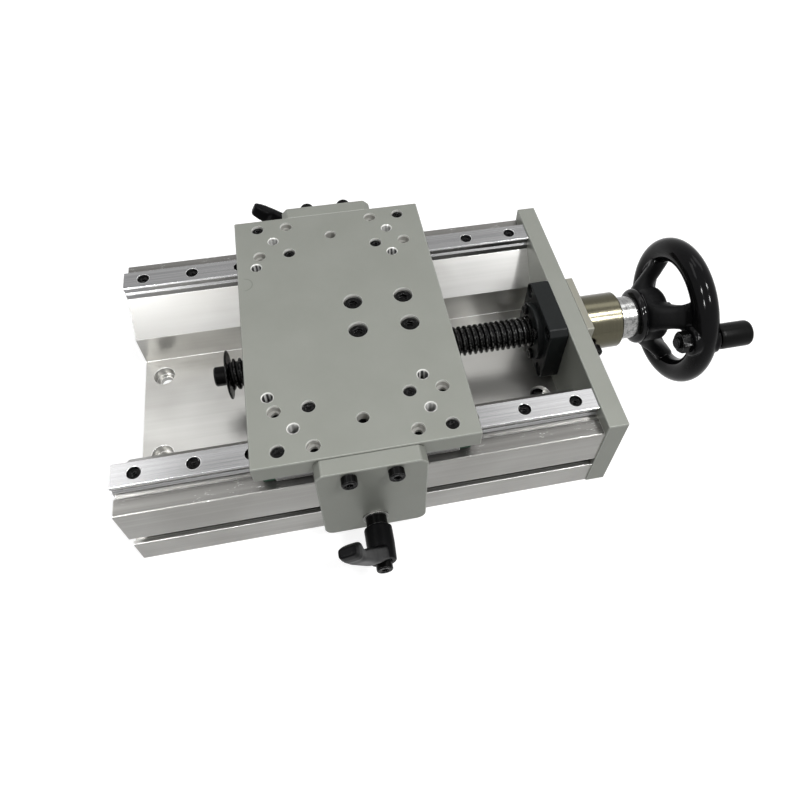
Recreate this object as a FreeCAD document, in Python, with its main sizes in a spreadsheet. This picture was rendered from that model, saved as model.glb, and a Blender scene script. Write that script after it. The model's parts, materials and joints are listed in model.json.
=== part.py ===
"""Manual linear stage: a table on two guide rails, moved by a lead screw and a handwheel.

Millimetres. X runs along the rails towards the handwheel, Y to the rear, Z up. The origin is
the centre of the base's bottom face. The driving sizes are the cells of the sheet "sizes";
every position and fit below is worked out from them.
"""
import FreeCAD, Part
import Sketcher
import math
import os

Vector = FreeCAD.Vector
Rotation = FreeCAD.Rotation

os.makedirs("parts", exist_ok=True)
doc = FreeCAD.newDocument("linear_stage")

SIZES = {
    # Base extrusion
    "base_length": 220.0,
    "base_width": 149.5,
    "shoulder_round": 1.0,
    "seat_drop": 2.0,
    "seat_gap": 2.0,
    "seat_thickness": 9.0,
    "shoulder_width": 8.75,
    "slope_run": 15.5,
    "floor_thickness": 8.5,
    "chamber_wall": 4.0,
    "chamber_floor": 6.0,
    "slot_height": 19.25,
    "slot_opening": 6.0,
    "slot_lip": 2.0,
    "slot_room": 11.6,
    "slot_depth": 6.5,
    "slot_corner": 1.6,
    "slot_wall": 3.75,
    "mount_inset": 10.0,
    "mount_spacing_y": 50.0,
    # End plate
    "end_plate_thickness": 10.0,
    "end_plate_overhang": 0.75,
    "end_plate_drop": 1.1,
    "end_screw_inset": 4.75,
    "end_screw_drop": 10.5,
    "end_screw_bottom": 7.0,
    "edge_break": 0.4,
    # Guide rails and carriages
    "rail_width": 12.0,
    "rail_height": 8.0,
    "rail_edge": 0.5,
    "rail_groove_low": 3.2,
    "rail_groove_high": 6.4,
    "rail_groove_depth": 0.9,
    "rail_hole_pitch": 25.0,
    "rail_hole_margin": 8.0,
    "rail_hole_width": 3.5,
    "rail_counterbore_depth": 4.5,
    "carriage_spacing": 60.0,
    "carriage_lift": 3.0,
    "carriage_height": 10.0,
    "carriage_width": 27.0,
    "carriage_length": 34.7,
    "carriage_steel_length": 21.7,
    "carriage_hole_x": 15.0,
    "carriage_hole_y": 20.0,
    "carriage_edge": 1.2,
    "carriage_rail_gap": 0.3,
    "cap_inset": 0.4,
    # Table plate
    "table_overhang": 1.95,
    "table_thickness": 10.0,
    "table_tap_x_left": -39.7,
    "table_tap_x_right": 30.0,
    "table_tap_y": 80.4,
    "table_hole_width": 5.7,
    "tap_countersink": 0.4,
    # Nut bracket and lead nut
    "bracket_offset": 0.0,
    "bracket_length": 35.0,
    "bracket_margin": 1.0,
    "bracket_screw_inset": 5.0,
    "bracket_screw_y": 18.0,
    "nut_body_width": 24.0,
    "nut_body_length": 30.0,
    "nut_flange_width": 40.0,
    "nut_screw_edge": 3.5,
    "nut_table_gap": 2.4,
    "nut_flange_thickness": 6.0,
    # Lock brackets
    "lock_width": 48.0,
    "lock_thickness": 8.0,
    "lock_bottom": 8.2,
    "lock_below_table": 0.5,
    "lock_corner_cut": 3.0,
    "lock_corner_round": 4.5,
    "lock_screw_spacing": 20.0,
    "slot_nut_length": 22.0,
    "slot_nut_play": 0.4,
    "slot_nut_lip_gap": 0.1,
    "slot_nut_thickness": 3.5,
    # Clamp levers
    "lever_washer_width": 12.0,
    "lever_washer_thickness": 1.0,
    "stud_neck_width": 8.8,
    "stud_neck_length": 5.0,
    "stud_spline_width": 7.8,
    "stud_spline_length": 3.0,
    "hub_width": 13.0,
    "hub_top_width": 12.2,
    "hub_length": 16.5,
    "hub_web_height": 4.5,
    "hub_web_thickness": 1.5,
    "hub_bore_width": 8.2,
    "lever_screw_head_width": 7.5,
    "lever_reach": 45.0,
    "lever_front_angle": 109.0,
    "lever_rear_angle": 152.0,
    "spring_wire": 0.7,
    "spring_width": 7.4,
    # Lead screw
    "axis_height": 33.6,
    "screw_width": 16.0,
    "travel_left": 54.0,
    "stop_gap": 0.5,
    "screw_shoulder_width": 13.0,
    "journal_width": 10.0,
    "stop_washer_width": 25.0,
    "stop_washer_thickness": 1.5,
    # Bearings and their housing
    "housing_width": 39.0,
    "housing_thickness": 10.0,
    "housing_corner": 3.0,
    "housing_screw_inset": 4.5,
    "bearing_width": 19.0,
    "bearing_thickness": 5.0,
    "bearing_outer_ring": 1.2,
    "bearing_inner_ring": 1.5,
    "bearing_shoulder": 1.0,
    "retainer_margin": 3.5,
    "retainer_thickness": 3.0,
    "retainer_screw_wall": 1.0,
    "pad_margin": 3.0,
    "pad_thickness": 4.0,
    "shaft_gap": 0.5,
    "spacer_width": 14.0,
    "collar_width": 29.8,
    "collar_length": 21.0,
    "collar_edge": 0.8,
    "clamp_screw_head_radius": 21.3,
    "clamp_screw_inset": 3.7,
    "bush_width": 23.0,
    "bush_length": 11.5,
    "bush_seat": 2.0,
    # Handwheel
    "wheel_hub_width": 30.0,
    "wheel_hub_length": 16.7,
    "wheel_hub_round": 3.0,
    "rim_radius": 33.5,
    "rim_thickness": 13.0,
    "rim_offset": 25.5,
    "spoke_width": 12.4,
    "spoke_thickness": 8.0,
    "spoke_rim_width": 17.0,
    "spoke_root": 9.0,
    "spoke_angle": 138.0,
    "spoke_count": 3,
    "key_width": 3.0,
    "key_length": 12.0,
    "wheel_washer_width": 18.0,
    "wheel_washer_thickness": 1.5,
    "handle_inset": 2.0,
    "handle_angle": 160.0,
    "handle_boss_width": 16.0,
    "handle_boss_left": 1.5,
    "handle_boss_right": 0.1,
    "handle_flange_thickness": 0.8,
    "handle_flange_width": 11.0,
    "handle_nut_flats": 10.0,
    "handle_nut_thickness": 5.0,
    "handle_thread_end": 2.0,
    "grip_width": 13.4,
    "grip_length": 17.9,
    "grip_pin_width": 7.0,
    "grip_head_width": 9.6,
    "grip_head_length": 3.0,
    "grip_head_recess": 0.6,
    "grip_round": 2.4,
    # Metric screws and their holes
    "m3_width": 3.0,
    "m3_head": 5.5,
    "m3_bore": 6.2,
    "m4_width": 4.0,
    "m4_head": 7.0,
    "m4_bore": 7.6,
    "m5_width": 5.0,
    "m5_head": 8.5,
    "m5_bore": 9.4,
    "m6_width": 6.0,
    "m6_head": 10.0,
    "m6_bore": 11.0,
    "m6_core": 5.0,
    "screw_hole_gap": 0.3,
    "head_recess": 0.8,
    "tap_spare": 1.0,
    "rail_screw_length": 8.0,
    "table_screw_length": 10.0,
    "bracket_screw_length": 12.0,
    "nut_screw_length": 12.0,
    "lock_screw_length": 16.0,
    "end_screw_length": 16.0,
    "housing_screw_length": 18.0,
    "retainer_screw_length": 6.0,
    "lever_screw_length": 20.0,
    "clamp_screw_length": 12.0,
    "stop_screw_length": 14.0,
    "wheel_screw_length": 14.0,
    # Fits
    "fit": 0.02,
    "running_fit": 0.05,
    "base_side_gap": 0.25,
    "trim": 0.5,
}

sheet = doc.addObject("Spreadsheet::Sheet", "sizes")
for row, (name, number) in enumerate(SIZES.items(), start=1):
    sheet.set("A%d" % row, name)
    sheet.set("B%d" % row, str(number))
    sheet.setAlias("B%d" % row, name)
doc.recompute()


class Size:
    """A number that keeps the spreadsheet formula it comes from."""

    def __init__(self, formula, number):
        self.formula = formula
        self.number = number

    def joined(self, sign, other, number):
        return Size("(%s %s %s)" % (self.formula, sign, other.formula), number)

    def __add__(self, other):
        other = as_size(other)
        return self.joined("+", other, self.number + other.number)

    def __sub__(self, other):
        other = as_size(other)
        return self.joined("-", other, self.number - other.number)

    def __mul__(self, other):
        other = as_size(other)
        return self.joined("*", other, self.number * other.number)

    def __truediv__(self, other):
        other = as_size(other)
        return self.joined("/", other, self.number / other.number)

    def __radd__(self, other):
        return as_size(other) + self

    def __rsub__(self, other):
        return as_size(other) - self

    def __rmul__(self, other):
        return as_size(other) * self

    def __neg__(self):
        return as_size(-1) * self


def as_size(value):
    """A plain number as a Size."""
    if isinstance(value, Size):
        return value
    return Size("(%.6g)" % value, float(value))


def cosine(angle):
    return Size("cos(%s)" % angle.formula, math.cos(math.radians(angle.number)))


def whole(size):
    """The size without its fraction, for a count."""
    return Size("floor(%s)" % size.formula, math.floor(size.number))


def sine(angle):
    return Size("sin(%s)" % angle.formula, math.sin(math.radians(angle.number)))


class Sheet:
    """The sheet's cells as attributes."""

    def __getattr__(self, name):
        return Size("sizes." + name, float(SIZES[name]))


s = Sheet()


def bind(thing, prop, size):
    """Tie one property of an object to the sheet."""
    thing.setExpression(prop, as_size(size).formula)


def new_body(label):
    body = doc.addObject("PartDesign::Body", label)
    body.Label = label
    return body


def origin_feature(body, role):
    for feature in body.Origin.OriginFeatures:
        if feature.Role == role:
            return feature


def sketch_on(body, role, offset=0):
    """A sketch on one of the body's own planes, moved along that plane's normal."""
    sketch = body.newObject("Sketcher::SketchObject", body.Name + "_sketch")
    sketch.AttachmentSupport = (origin_feature(body, role), [""])
    sketch.MapMode = "FlatFace"
    bind(sketch, "AttachmentOffset.Base.z", offset)
    return sketch


ORIGIN = -1
START, END, CENTRE = range(1, 4)


def place_point(sketch, geometry, point, x, y):
    """Fix a point of the sketch at x and y from its origin."""
    for kind, size in (("DistanceX", x), ("DistanceY", y)):
        number = as_size(size).number
        index = sketch.addConstraint(Sketcher.Constraint(kind, ORIGIN, START, geometry, point, number))
        bind(sketch, "Constraints[%d]" % index, size)


def fix_size(sketch, kind, geometry, size):
    """Fix the length or radius of one curve."""
    index = sketch.addConstraint(Sketcher.Constraint(kind, geometry, as_size(size).number))
    bind(sketch, "Constraints[%d]" % index, size)


def circle(sketch, x, y, radius):
    centre = Vector(as_size(x).number, as_size(y).number, 0)
    index = sketch.addGeometry(Part.Circle(centre, Vector(0, 0, 1), as_size(radius).number), False)
    place_point(sketch, index, CENTRE, x, y)
    fix_size(sketch, "Radius", index, radius)


def ellipse(sketch, x, y, half_width, half_height):
    """An ellipse that is wider than it is high."""
    x, y = as_size(x), as_size(y)
    centre = Vector(x.number, y.number, 0)
    side = centre + Vector(half_width.number, 0, 0)
    top = centre + Vector(0, half_height.number, 0)
    index = sketch.addGeometry(Part.Ellipse(side, top, centre), False)
    sketch.exposeInternalGeometry(index)
    place_point(sketch, index, CENTRE, x, y)
    sketch.addConstraint(Sketcher.Constraint("Horizontal", index + 1))
    fix_size(sketch, "Distance", index + 1, half_width * 2)
    fix_size(sketch, "Distance", index + 2, half_height * 2)


def rounded_corner(sketch, before, after, corner, radius, into, out):
    """Join two lines with an arc, and hold the sharp corner as a construction point."""
    turn = into.cross(out).z
    half_turn = math.acos(max(-1.0, min(1.0, into.dot(out)))) / 2
    reach = radius.number * math.tan(half_turn)
    x, y = as_size(corner[0]), as_size(corner[1])
    sharp = Vector(x.number, y.number, 0)
    side = Vector(-into.y, into.x, 0) * math.copysign(1, turn)
    centre = sharp - into * reach + side * radius.number
    first = sharp - into * reach - centre
    last = sharp + out * reach - centre
    if turn < 0:
        first, last = last, first
    from_angle = math.atan2(first.y, first.x)
    to_angle = math.atan2(last.y, last.x)
    if to_angle < from_angle:
        to_angle += 2 * math.pi
    round_circle = Part.Circle(centre, Vector(0, 0, 1), radius.number)
    arc = sketch.addGeometry(Part.ArcOfCircle(round_circle, from_angle, to_angle), False)
    point = sketch.addGeometry(Part.Point(sharp), True)
    ends = (START, END) if turn > 0 else (END, START)
    sketch.addConstraint([
        Sketcher.Constraint("PointOnObject", point, START, before),
        Sketcher.Constraint("PointOnObject", point, START, after),
        Sketcher.Constraint("Tangent", before, END, arc, ends[0]),
        Sketcher.Constraint("Tangent", arc, ends[1], after, START),
    ])
    place_point(sketch, point, START, x, y)
    fix_size(sketch, "Radius", arc, radius)


def outline(sketch, corners):
    """A closed loop through corners (x, y) or (x, y, radius)."""
    points = [Vector(as_size(c[0]).number, as_size(c[1]).number, 0) for c in corners]
    count = len(corners)
    ways = [(points[(i + 1) % count] - points[i]).normalize() for i in range(count)]
    reaches = []
    for i, corner in enumerate(corners):
        radius = as_size(corner[2]).number if len(corner) > 2 else 0
        half_turn = math.acos(max(-1.0, min(1.0, ways[i - 1].dot(ways[i])))) / 2
        reaches.append(radius * math.tan(half_turn))
    lines = []
    for i in range(count):
        start = points[i] + ways[i] * reaches[i]
        end = points[(i + 1) % count] - ways[i] * reaches[(i + 1) % count]
        lines.append(sketch.addGeometry(Part.LineSegment(start, end), False))
    for i, corner in enumerate(corners):
        if len(corner) > 2:
            rounded_corner(sketch, lines[i - 1], lines[i], corner, corner[2], ways[i - 1], ways[i])
        else:
            sketch.addConstraint(Sketcher.Constraint("Coincident", lines[i - 1], END, lines[i], START))
            place_point(sketch, lines[i], START, corner[0], corner[1])


def rectangle(sketch, left, right, low, high):
    outline(sketch, [(left, low), (right, low), (right, high), (left, high)])


def pad(body, sketch, length, midplane=False, reverse=False):
    feature = body.newObject("PartDesign::Pad", body.Name + "_pad")
    feature.Profile = sketch
    bind(feature, "Length", length)
    feature.Midplane = midplane
    feature.Reversed = reverse
    return feature


def pocket(body, sketch, depth, reverse=False, taper=0, midplane=False):
    feature = body.newObject("PartDesign::Pocket", body.Name + "_pocket")
    feature.Profile = sketch
    bind(feature, "Length", depth)
    feature.Reversed = reverse
    feature.Midplane = midplane
    feature.TaperAngle = taper
    return feature


def drill(body, role, offset, spots, radius, depth, reverse=False, taper=0):
    """Round holes of one size at several spots of a plane."""
    sketch = sketch_on(body, role, offset)
    for x, y in spots:
        circle(sketch, x, y, radius)
    return pocket(body, sketch, depth, reverse, taper)


def revolve(body, corners):
    """Turn a half profile (radius, height) about the body's Z axis."""
    sketch = sketch_on(body, "XZ_Plane")
    outline(sketch, corners)
    feature = body.newObject("PartDesign::Revolution", body.Name + "_turned")
    feature.Profile = sketch
    feature.ReferenceAxis = (origin_feature(body, "Z_Axis"), [""])
    feature.Angle = 360
    return feature


def loft(body, sections):
    feature = body.newObject("PartDesign::AdditiveLoft", body.Name + "_loft")
    feature.Profile = sections[0]
    feature.Sections = sections[1:]
    return feature


def repeat_along(body, axis, features, length, count):
    pattern = body.newObject("PartDesign::LinearPattern", body.Name + "_row")
    pattern.Originals = features
    pattern.Direction = (origin_feature(body, axis), [""])
    bind(pattern, "Length", length)
    bind(pattern, "Occurrences", count)
    body.Tip = pattern
    return pattern


def repeat_around(body, features, count):
    pattern = body.newObject("PartDesign::PolarPattern", body.Name + "_ring")
    pattern.Originals = features
    pattern.Axis = (origin_feature(body, "Z_Axis"), [""])
    pattern.Angle = 360
    bind(pattern, "Occurrences", count)
    body.Tip = pattern
    return pattern


def break_edges(body, size):
    """Chamfer every edge of the body as it stands."""
    doc.recompute()
    base = body.Tip
    feature = body.newObject("PartDesign::Chamfer", body.Name + "_edges")
    feature.Base = (base, ["Edge%d" % (i + 1) for i in range(len(base.Shape.Edges))])
    bind(feature, "Size", size)
    return feature


def place(thing, x=0, y=0, z=0, turned=Rotation()):
    thing.Placement = FreeCAD.Placement(Vector(0, 0, 0), turned)
    bind(thing, "Placement.Base.x", x)
    bind(thing, "Placement.Base.y", y)
    bind(thing, "Placement.Base.z", z)


TOWARDS_UP = Rotation()
TOWARDS_LEFT = Rotation(Vector(0, 1, 0), -90)
TOWARDS_RIGHT = Rotation(Vector(0, 1, 0), 90)
TOWARDS_FRONT = Rotation(Vector(1, 0, 0), 90)
TOWARDS_REAR = Rotation(Vector(1, 0, 0), -90)

# Positions that follow from the sizes
table_bottom = s.axis_height + s.nut_flange_width / 2 + s.nut_table_gap
carriage_bottom = table_bottom - s.carriage_height
seat_z = carriage_bottom - s.carriage_lift
shoulder_height = seat_z + s.seat_drop
base_side = s.base_width / 2
rail_y = base_side - s.shoulder_width - s.seat_gap - s.rail_width / 2
trough_side = rail_y - s.rail_width / 2 - s.slope_run
rail_top = seat_z + s.rail_height
table_top = table_bottom + s.table_thickness
base_end = s.base_length / 2
end_plate_face = base_end + s.end_plate_thickness
end_plate_top = s.axis_height + s.housing_width / 2 - s.end_plate_drop
housing_face = base_end - s.housing_thickness
retainer_face = housing_face - s.retainer_thickness
pad_face = end_plate_face + s.pad_thickness
collar_end = pad_face + s.collar_length
wheel_start = collar_end + s.bush_length - s.bush_seat
wheel_end = wheel_start + s.wheel_hub_length
journal = s.journal_width / 2
bearing_rim = s.bearing_width / 2
outer_ring_bore = bearing_rim - s.bearing_outer_ring
shoulder_bore = bearing_rim - s.bearing_shoulder
screw_start = s.bracket_offset - s.nut_flange_thickness - s.travel_left - s.stop_gap
nut_screw_radius = s.nut_flange_width / 2 - s.nut_screw_edge
retainer_screw_radius = bearing_rim + s.retainer_screw_wall + s.m3_width / 2
handle_radius = s.rim_radius - s.handle_inset
boss_start = s.rim_offset - s.rim_thickness / 2 - s.handle_boss_left
boss_length = s.rim_thickness + s.handle_boss_left + s.handle_boss_right
bearing_1 = housing_face + s.bearing_shoulder
bearing_2 = end_plate_face - s.bearing_shoulder - s.bearing_thickness
table_side = base_side + s.base_side_gap
lock_face = table_side + s.lock_thickness
washer_face = lock_face + s.lever_washer_thickness
lock_screw_z = table_top - s.table_thickness / 2
slot_centre = s.slot_height
housing_reach = s.housing_width / 2 - s.housing_screw_inset
housing_spots = [(y * housing_reach, s.axis_height + z * housing_reach) for y in (-1, 1) for z in (-1, 1)]
end_screw_spots = [(y * (base_side - s.end_screw_inset), z) for y in (-1, 1)
                   for z in (shoulder_height - s.end_screw_drop, s.end_screw_bottom)]
end_screw_spots += [(y * trough_side / 2, s.floor_thickness / 2) for y in (-1, 1)]
rail_hole_count = whole((s.base_length - 2 * s.rail_hole_margin) / s.rail_hole_pitch) + 1
first_rail_hole = -(rail_hole_count - 1) * s.rail_hole_pitch / 2
carriage_spots = [(x * s.carriage_spacing / 2, y * rail_y) for x in (-1, 1) for y in (-1, 1)]
bracket_screw_spots = [(x, y * s.bracket_screw_y / 2)
                       for x in (s.bracket_offset + s.bracket_screw_inset,
                                 s.bracket_offset + s.bracket_length - s.bracket_screw_inset)
                       for y in (-1, 1)]
lock_screw_spots = [x * s.lock_screw_spacing / 2 for x in (-1, 1)]
key_root = journal - s.key_width * 0.6
shaft_turn = TOWARDS_RIGHT.multiply(Rotation(Vector(0, 0, 1), s.spoke_angle.number + 90))


def tapped(width):
    return width / 2 + s.fit


def cleared(width):
    return width / 2 + s.screw_hole_gap


def cap_screw(name, width, head, length):
    """A socket head screw with the underside of its head at the local origin."""
    body = new_body(name)
    revolve(body, [(0, -length), (width / 2, -length), (width / 2, 0), (head / 2, 0),
                   (head / 2, width), (0, width)])
    return body


def fasten(label, master, places, turned):
    """One node of identical screws: copies of one master at several places."""
    links = []
    for number, (x, y, z) in enumerate(places):
        link = doc.addObject("App::Link", "%s_%d" % (label, number))
        link.LinkedObject = master
        place(link, x, y, z, turned)
        links.append(link)
    group = doc.addObject("Part::Compound", label)
    group.Label = label
    group.Links = links
    return group


def base_profile():
    """The extrusion: rail seats, trough, two closed chambers and a T-slot along each side."""
    body = new_body("base_profile")
    rail_inner = rail_y - s.rail_width / 2
    seat_outer = rail_y + s.rail_width / 2 + s.seat_gap
    lip = base_side - s.slot_lip
    back = base_side - s.slot_depth
    mouth = s.slot_opening / 2
    room = s.slot_room / 2
    side = [
        (base_side, 0), (base_side, slot_centre - mouth), (lip, slot_centre - mouth),
        (lip, slot_centre - room), (back + s.slot_corner, slot_centre - room),
        (back, slot_centre - room + s.slot_corner), (back, slot_centre + room - s.slot_corner),
        (back + s.slot_corner, slot_centre + room), (lip, slot_centre + room),
        (lip, slot_centre + mouth), (base_side, slot_centre + mouth),
        (base_side, shoulder_height, s.shoulder_round), (seat_outer, shoulder_height),
        (seat_outer, seat_z), (rail_inner, seat_z), (trough_side, seat_z - s.slope_run),
        (trough_side, s.floor_thickness),
    ]
    mirrored = [(-corner[0], *corner[1:]) for corner in reversed(side)]
    slope = seat_z - rail_inner - s.chamber_wall * math.sqrt(2)
    inner = trough_side + s.chamber_wall
    outer = back - s.slot_wall
    roof = seat_z - s.seat_thickness
    chamber = [(inner, s.chamber_floor), (outer, s.chamber_floor), (outer, roof), (roof - slope, roof),
               (inner, inner + slope)]
    sketch = sketch_on(body, "YZ_Plane")
    outline(sketch, side + mirrored)
    outline(sketch, chamber)
    outline(sketch, [(-y, z) for y, z in reversed(chamber)])
    pad(body, sketch, s.base_length, midplane=True)
    mounts = [(x * (base_end - s.mount_inset), y * s.mount_spacing_y / 2) for x in (-1, 1) for y in (-1, 1)]
    drill(body, "XY_Plane", s.floor_thickness, mounts, s.m6_bore / 2, s.floor_thickness - s.m6_width / 2)
    drill(body, "XY_Plane", s.floor_thickness, mounts, cleared(s.m6_width), s.floor_thickness)
    depth = s.end_screw_length + s.tap_spare
    drill(body, "YZ_Plane", base_end, end_screw_spots, tapped(s.m5_width), depth)
    row = drill(body, "XY_Plane", seat_z, [(first_rail_hole, y * rail_y) for y in (-1, 1)],
                tapped(s.m3_width), s.rail_screw_length)
    repeat_along(body, "X_Axis", [row], (rail_hole_count - 1) * s.rail_hole_pitch, rail_hole_count)


def end_plate():
    body = new_body("end_plate")
    half = base_side + s.end_plate_overhang
    sketch = sketch_on(body, "YZ_Plane", base_end)
    rectangle(sketch, -half, half, 0, end_plate_top)
    pad(body, sketch, s.end_plate_thickness)
    break_edges(body, s.edge_break)
    drill(body, "YZ_Plane", end_plate_face, end_screw_spots, s.m5_bore / 2, s.m5_width + s.head_recess)
    drill(body, "YZ_Plane", end_plate_face, end_screw_spots, cleared(s.m5_width), s.end_plate_thickness)
    centre = [(0, s.axis_height)]
    drill(body, "YZ_Plane", end_plate_face, centre, bearing_rim,
          s.bearing_thickness + s.bearing_shoulder)
    drill(body, "YZ_Plane", end_plate_face, centre, shoulder_bore, s.end_plate_thickness)
    drill(body, "YZ_Plane", end_plate_face, housing_spots, cleared(s.m4_width), s.end_plate_thickness)


def rail(label, side):
    """A guide rail with its ball grooves and counterbored holes."""
    body = new_body(label)
    half = s.rail_width / 2
    groove_floor = half - s.rail_groove_depth
    flank = [
        (half, 0), (half, s.rail_groove_low), (groove_floor, s.rail_groove_low + s.rail_groove_depth),
        (groove_floor, s.rail_groove_high - s.rail_groove_depth), (half, s.rail_groove_high),
        (half, s.rail_height - s.rail_edge), (half - s.rail_edge, s.rail_height),
    ]
    sketch = sketch_on(body, "YZ_Plane")
    outline(sketch, flank + [(-y, z) for y, z in reversed(flank)])
    pad(body, sketch, s.base_length, midplane=True)
    first = [(first_rail_hole, 0)]
    head = drill(body, "XY_Plane", s.rail_height, first, s.m3_bore / 2, s.rail_counterbore_depth)
    shank = drill(body, "XY_Plane", s.rail_height, first, s.rail_hole_width / 2, s.rail_height)
    repeat_along(body, "X_Axis", [head, shank], (rail_hole_count - 1) * s.rail_hole_pitch,
                 rail_hole_count)
    place(body, 0, side * rail_y, seat_z)


def saddle(sketch, half_width, edge, low, high):
    """The carriage's section: a block astride the rail."""
    gap = s.rail_width / 2 + s.carriage_rail_gap
    roof = s.rail_height - s.carriage_lift + s.carriage_rail_gap
    flank = [
        (half_width - edge, high), (half_width, high - edge), (half_width, low + edge),
        (half_width - edge, low), (gap, low), (gap, roof),
    ]
    outline(sketch, [(-y, z) for y, z in flank] + list(reversed(flank)))


def carriage(label, x, y):
    body = new_body(label)
    sketch = sketch_on(body, "YZ_Plane")
    saddle(sketch, s.carriage_width / 2, s.carriage_edge, 0, s.carriage_height)
    pad(body, sketch, s.carriage_steel_length, midplane=True)
    spots = [(i * s.carriage_hole_x / 2, j * s.carriage_hole_y / 2) for i in (-1, 1) for j in (-1, 1)]
    drill(body, "XY_Plane", s.carriage_height, spots, tapped(s.m3_width), s.carriage_height / 2)
    place(body, x, y, carriage_bottom)


def carriage_caps(label, x, y):
    """The two moulded end caps of one carriage, a little smaller all round than the steel."""
    body = new_body(label)
    length = (s.carriage_length - s.carriage_steel_length) / 2
    sketch = sketch_on(body, "YZ_Plane", s.carriage_steel_length / 2)
    saddle(sketch, s.carriage_width / 2 - s.cap_inset, s.carriage_edge, s.cap_inset,
           s.carriage_height - s.cap_inset)
    cap = pad(body, sketch, length)
    mirror = body.newObject("PartDesign::Mirrored", label + "_mirror")
    mirror.Originals = [cap]
    mirror.MirrorPlane = (origin_feature(body, "YZ_Plane"), [""])
    body.Tip = mirror
    place(body, x, y, carriage_bottom)


def carriage_screw_spots():
    """Two of the four holes over each carriage hold a screw, on alternating diagonals."""
    filled, open_holes = [], []
    diagonals = {(-1, 1): (1, -1), (1, 1): (1, 1), (-1, -1): (1, 1), (1, -1): (1, -1)}
    for side in (-1, 1):
        for end in (-1, 1):
            slant = diagonals[(end, side)]
            for i in (-1, 1):
                for j in (-1, 1):
                    spot = (end * s.carriage_spacing / 2 + i * s.carriage_hole_x / 2,
                            side * rail_y + j * s.carriage_hole_y / 2)
                    on_diagonal = i * j == slant[0] * slant[1]
                    (filled if on_diagonal else open_holes).append(spot)
    return filled, open_holes


def table_plate():
    body = new_body("table_plate")
    half_x, half_y = (s.carriage_spacing + s.carriage_length) / 2 + s.table_overhang, table_side
    sketch = sketch_on(body, "XY_Plane", table_bottom)
    rectangle(sketch, -half_x, half_x, -half_y, half_y)
    pad(body, sketch, s.table_thickness)
    break_edges(body, s.edge_break)
    filled, open_holes = carriage_screw_spots()
    spots = filled + open_holes
    drill(body, "XY_Plane", table_top, spots, s.m3_bore / 2, s.m3_width + s.head_recess)
    drill(body, "XY_Plane", table_top, spots, cleared(s.m3_width), s.table_thickness)
    drill(body, "XY_Plane", table_top, bracket_screw_spots, s.m5_bore / 2, s.m5_width + s.head_recess)
    drill(body, "XY_Plane", table_top, bracket_screw_spots, cleared(s.m5_width), s.table_thickness)
    taps = carriage_spots + [(x, y * s.table_tap_y / 2)
                             for x in (s.table_tap_x_left, s.table_tap_x_right) for y in (-1, 1)]
    drill(body, "XY_Plane", table_top, taps, s.m6_core / 2 + s.tap_countersink, s.tap_countersink, taper=-45)
    drill(body, "XY_Plane", table_top, taps, s.m6_core / 2, s.table_thickness)
    drill(body, "XY_Plane", table_top, [(0, y * rail_y) for y in (-1, 1)], s.table_hole_width / 2,
          s.table_thickness)
    for role_side, reverse in ((1, False), (-1, True)):
        sketch = sketch_on(body, "XZ_Plane", role_side * half_y)
        for x in lock_screw_spots:
            circle(sketch, x, lock_screw_z, tapped(s.m4_width))
        pocket(body, sketch, s.lock_screw_length - s.lock_thickness + s.tap_spare, reverse)


def nut_bracket():
    """The block under the table that holds the lead nut."""
    body = new_body("nut_bracket")
    left = s.bracket_offset
    half = s.nut_flange_width / 2 + s.bracket_margin
    sketch = sketch_on(body, "YZ_Plane", left)
    rectangle(sketch, -half, half, s.axis_height - half, table_bottom)
    pad(body, sketch, s.bracket_length)
    break_edges(body, s.edge_break)
    centre = [(0, s.axis_height)]
    drill(body, "YZ_Plane", left + s.bracket_length, centre, s.nut_body_width / 2 + s.fit, s.bracket_length)
    drill(body, "YZ_Plane", left, nut_screw_spots(s.axis_height), tapped(s.m4_width),
          s.nut_screw_length, reverse=True)
    drill(body, "XY_Plane", table_bottom, bracket_screw_spots, tapped(s.m5_width),
          s.bracket_screw_length - s.table_thickness + s.m5_width + s.head_recess + s.tap_spare)


def nut_screw_spots(centre):
    """The four screws above, below and beside the lead screw."""
    reach = nut_screw_radius
    return [(0, centre + reach), (0, centre - reach), (reach, centre), (-reach, centre)]


def lead_nut():
    body = new_body("lead_nut")
    bore = s.screw_width / 2 + s.running_fit
    revolve(body, [(bore, -s.nut_flange_thickness), (s.nut_flange_width / 2, -s.nut_flange_thickness),
                   (s.nut_flange_width / 2, 0), (s.nut_body_width / 2, 0),
                   (s.nut_body_width / 2, s.nut_body_length), (bore, s.nut_body_length)])
    drill(body, "XY_Plane", 0, nut_screw_spots(0), cleared(s.m4_width), s.nut_flange_thickness)
    place(body, s.bracket_offset, 0, s.axis_height, TOWARDS_RIGHT)


def lock_bracket(label, turned):
    """A plate on the table's side that reaches down over the T-slot."""
    body = new_body(label)
    half = s.lock_width / 2
    top = table_top - s.lock_below_table
    cut = s.lock_corner_cut
    sketch = sketch_on(body, "XZ_Plane", table_side)
    outline(sketch, [(-half, s.lock_bottom, s.lock_corner_round), (half, s.lock_bottom, s.lock_corner_round),
                     (half, top - cut), (half - cut, top), (-half + cut, top), (-half, top - cut)])
    pad(body, sketch, s.lock_thickness)
    break_edges(body, s.edge_break)
    sketch = sketch_on(body, "XZ_Plane", lock_face)
    for x in lock_screw_spots:
        circle(sketch, x, lock_screw_z, cleared(s.m4_width))
    circle(sketch, 0, slot_centre, cleared(s.m6_width))
    pocket(body, sketch, s.lock_thickness)
    body.Placement = FreeCAD.Placement(Vector(0, 0, 0), turned)


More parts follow.
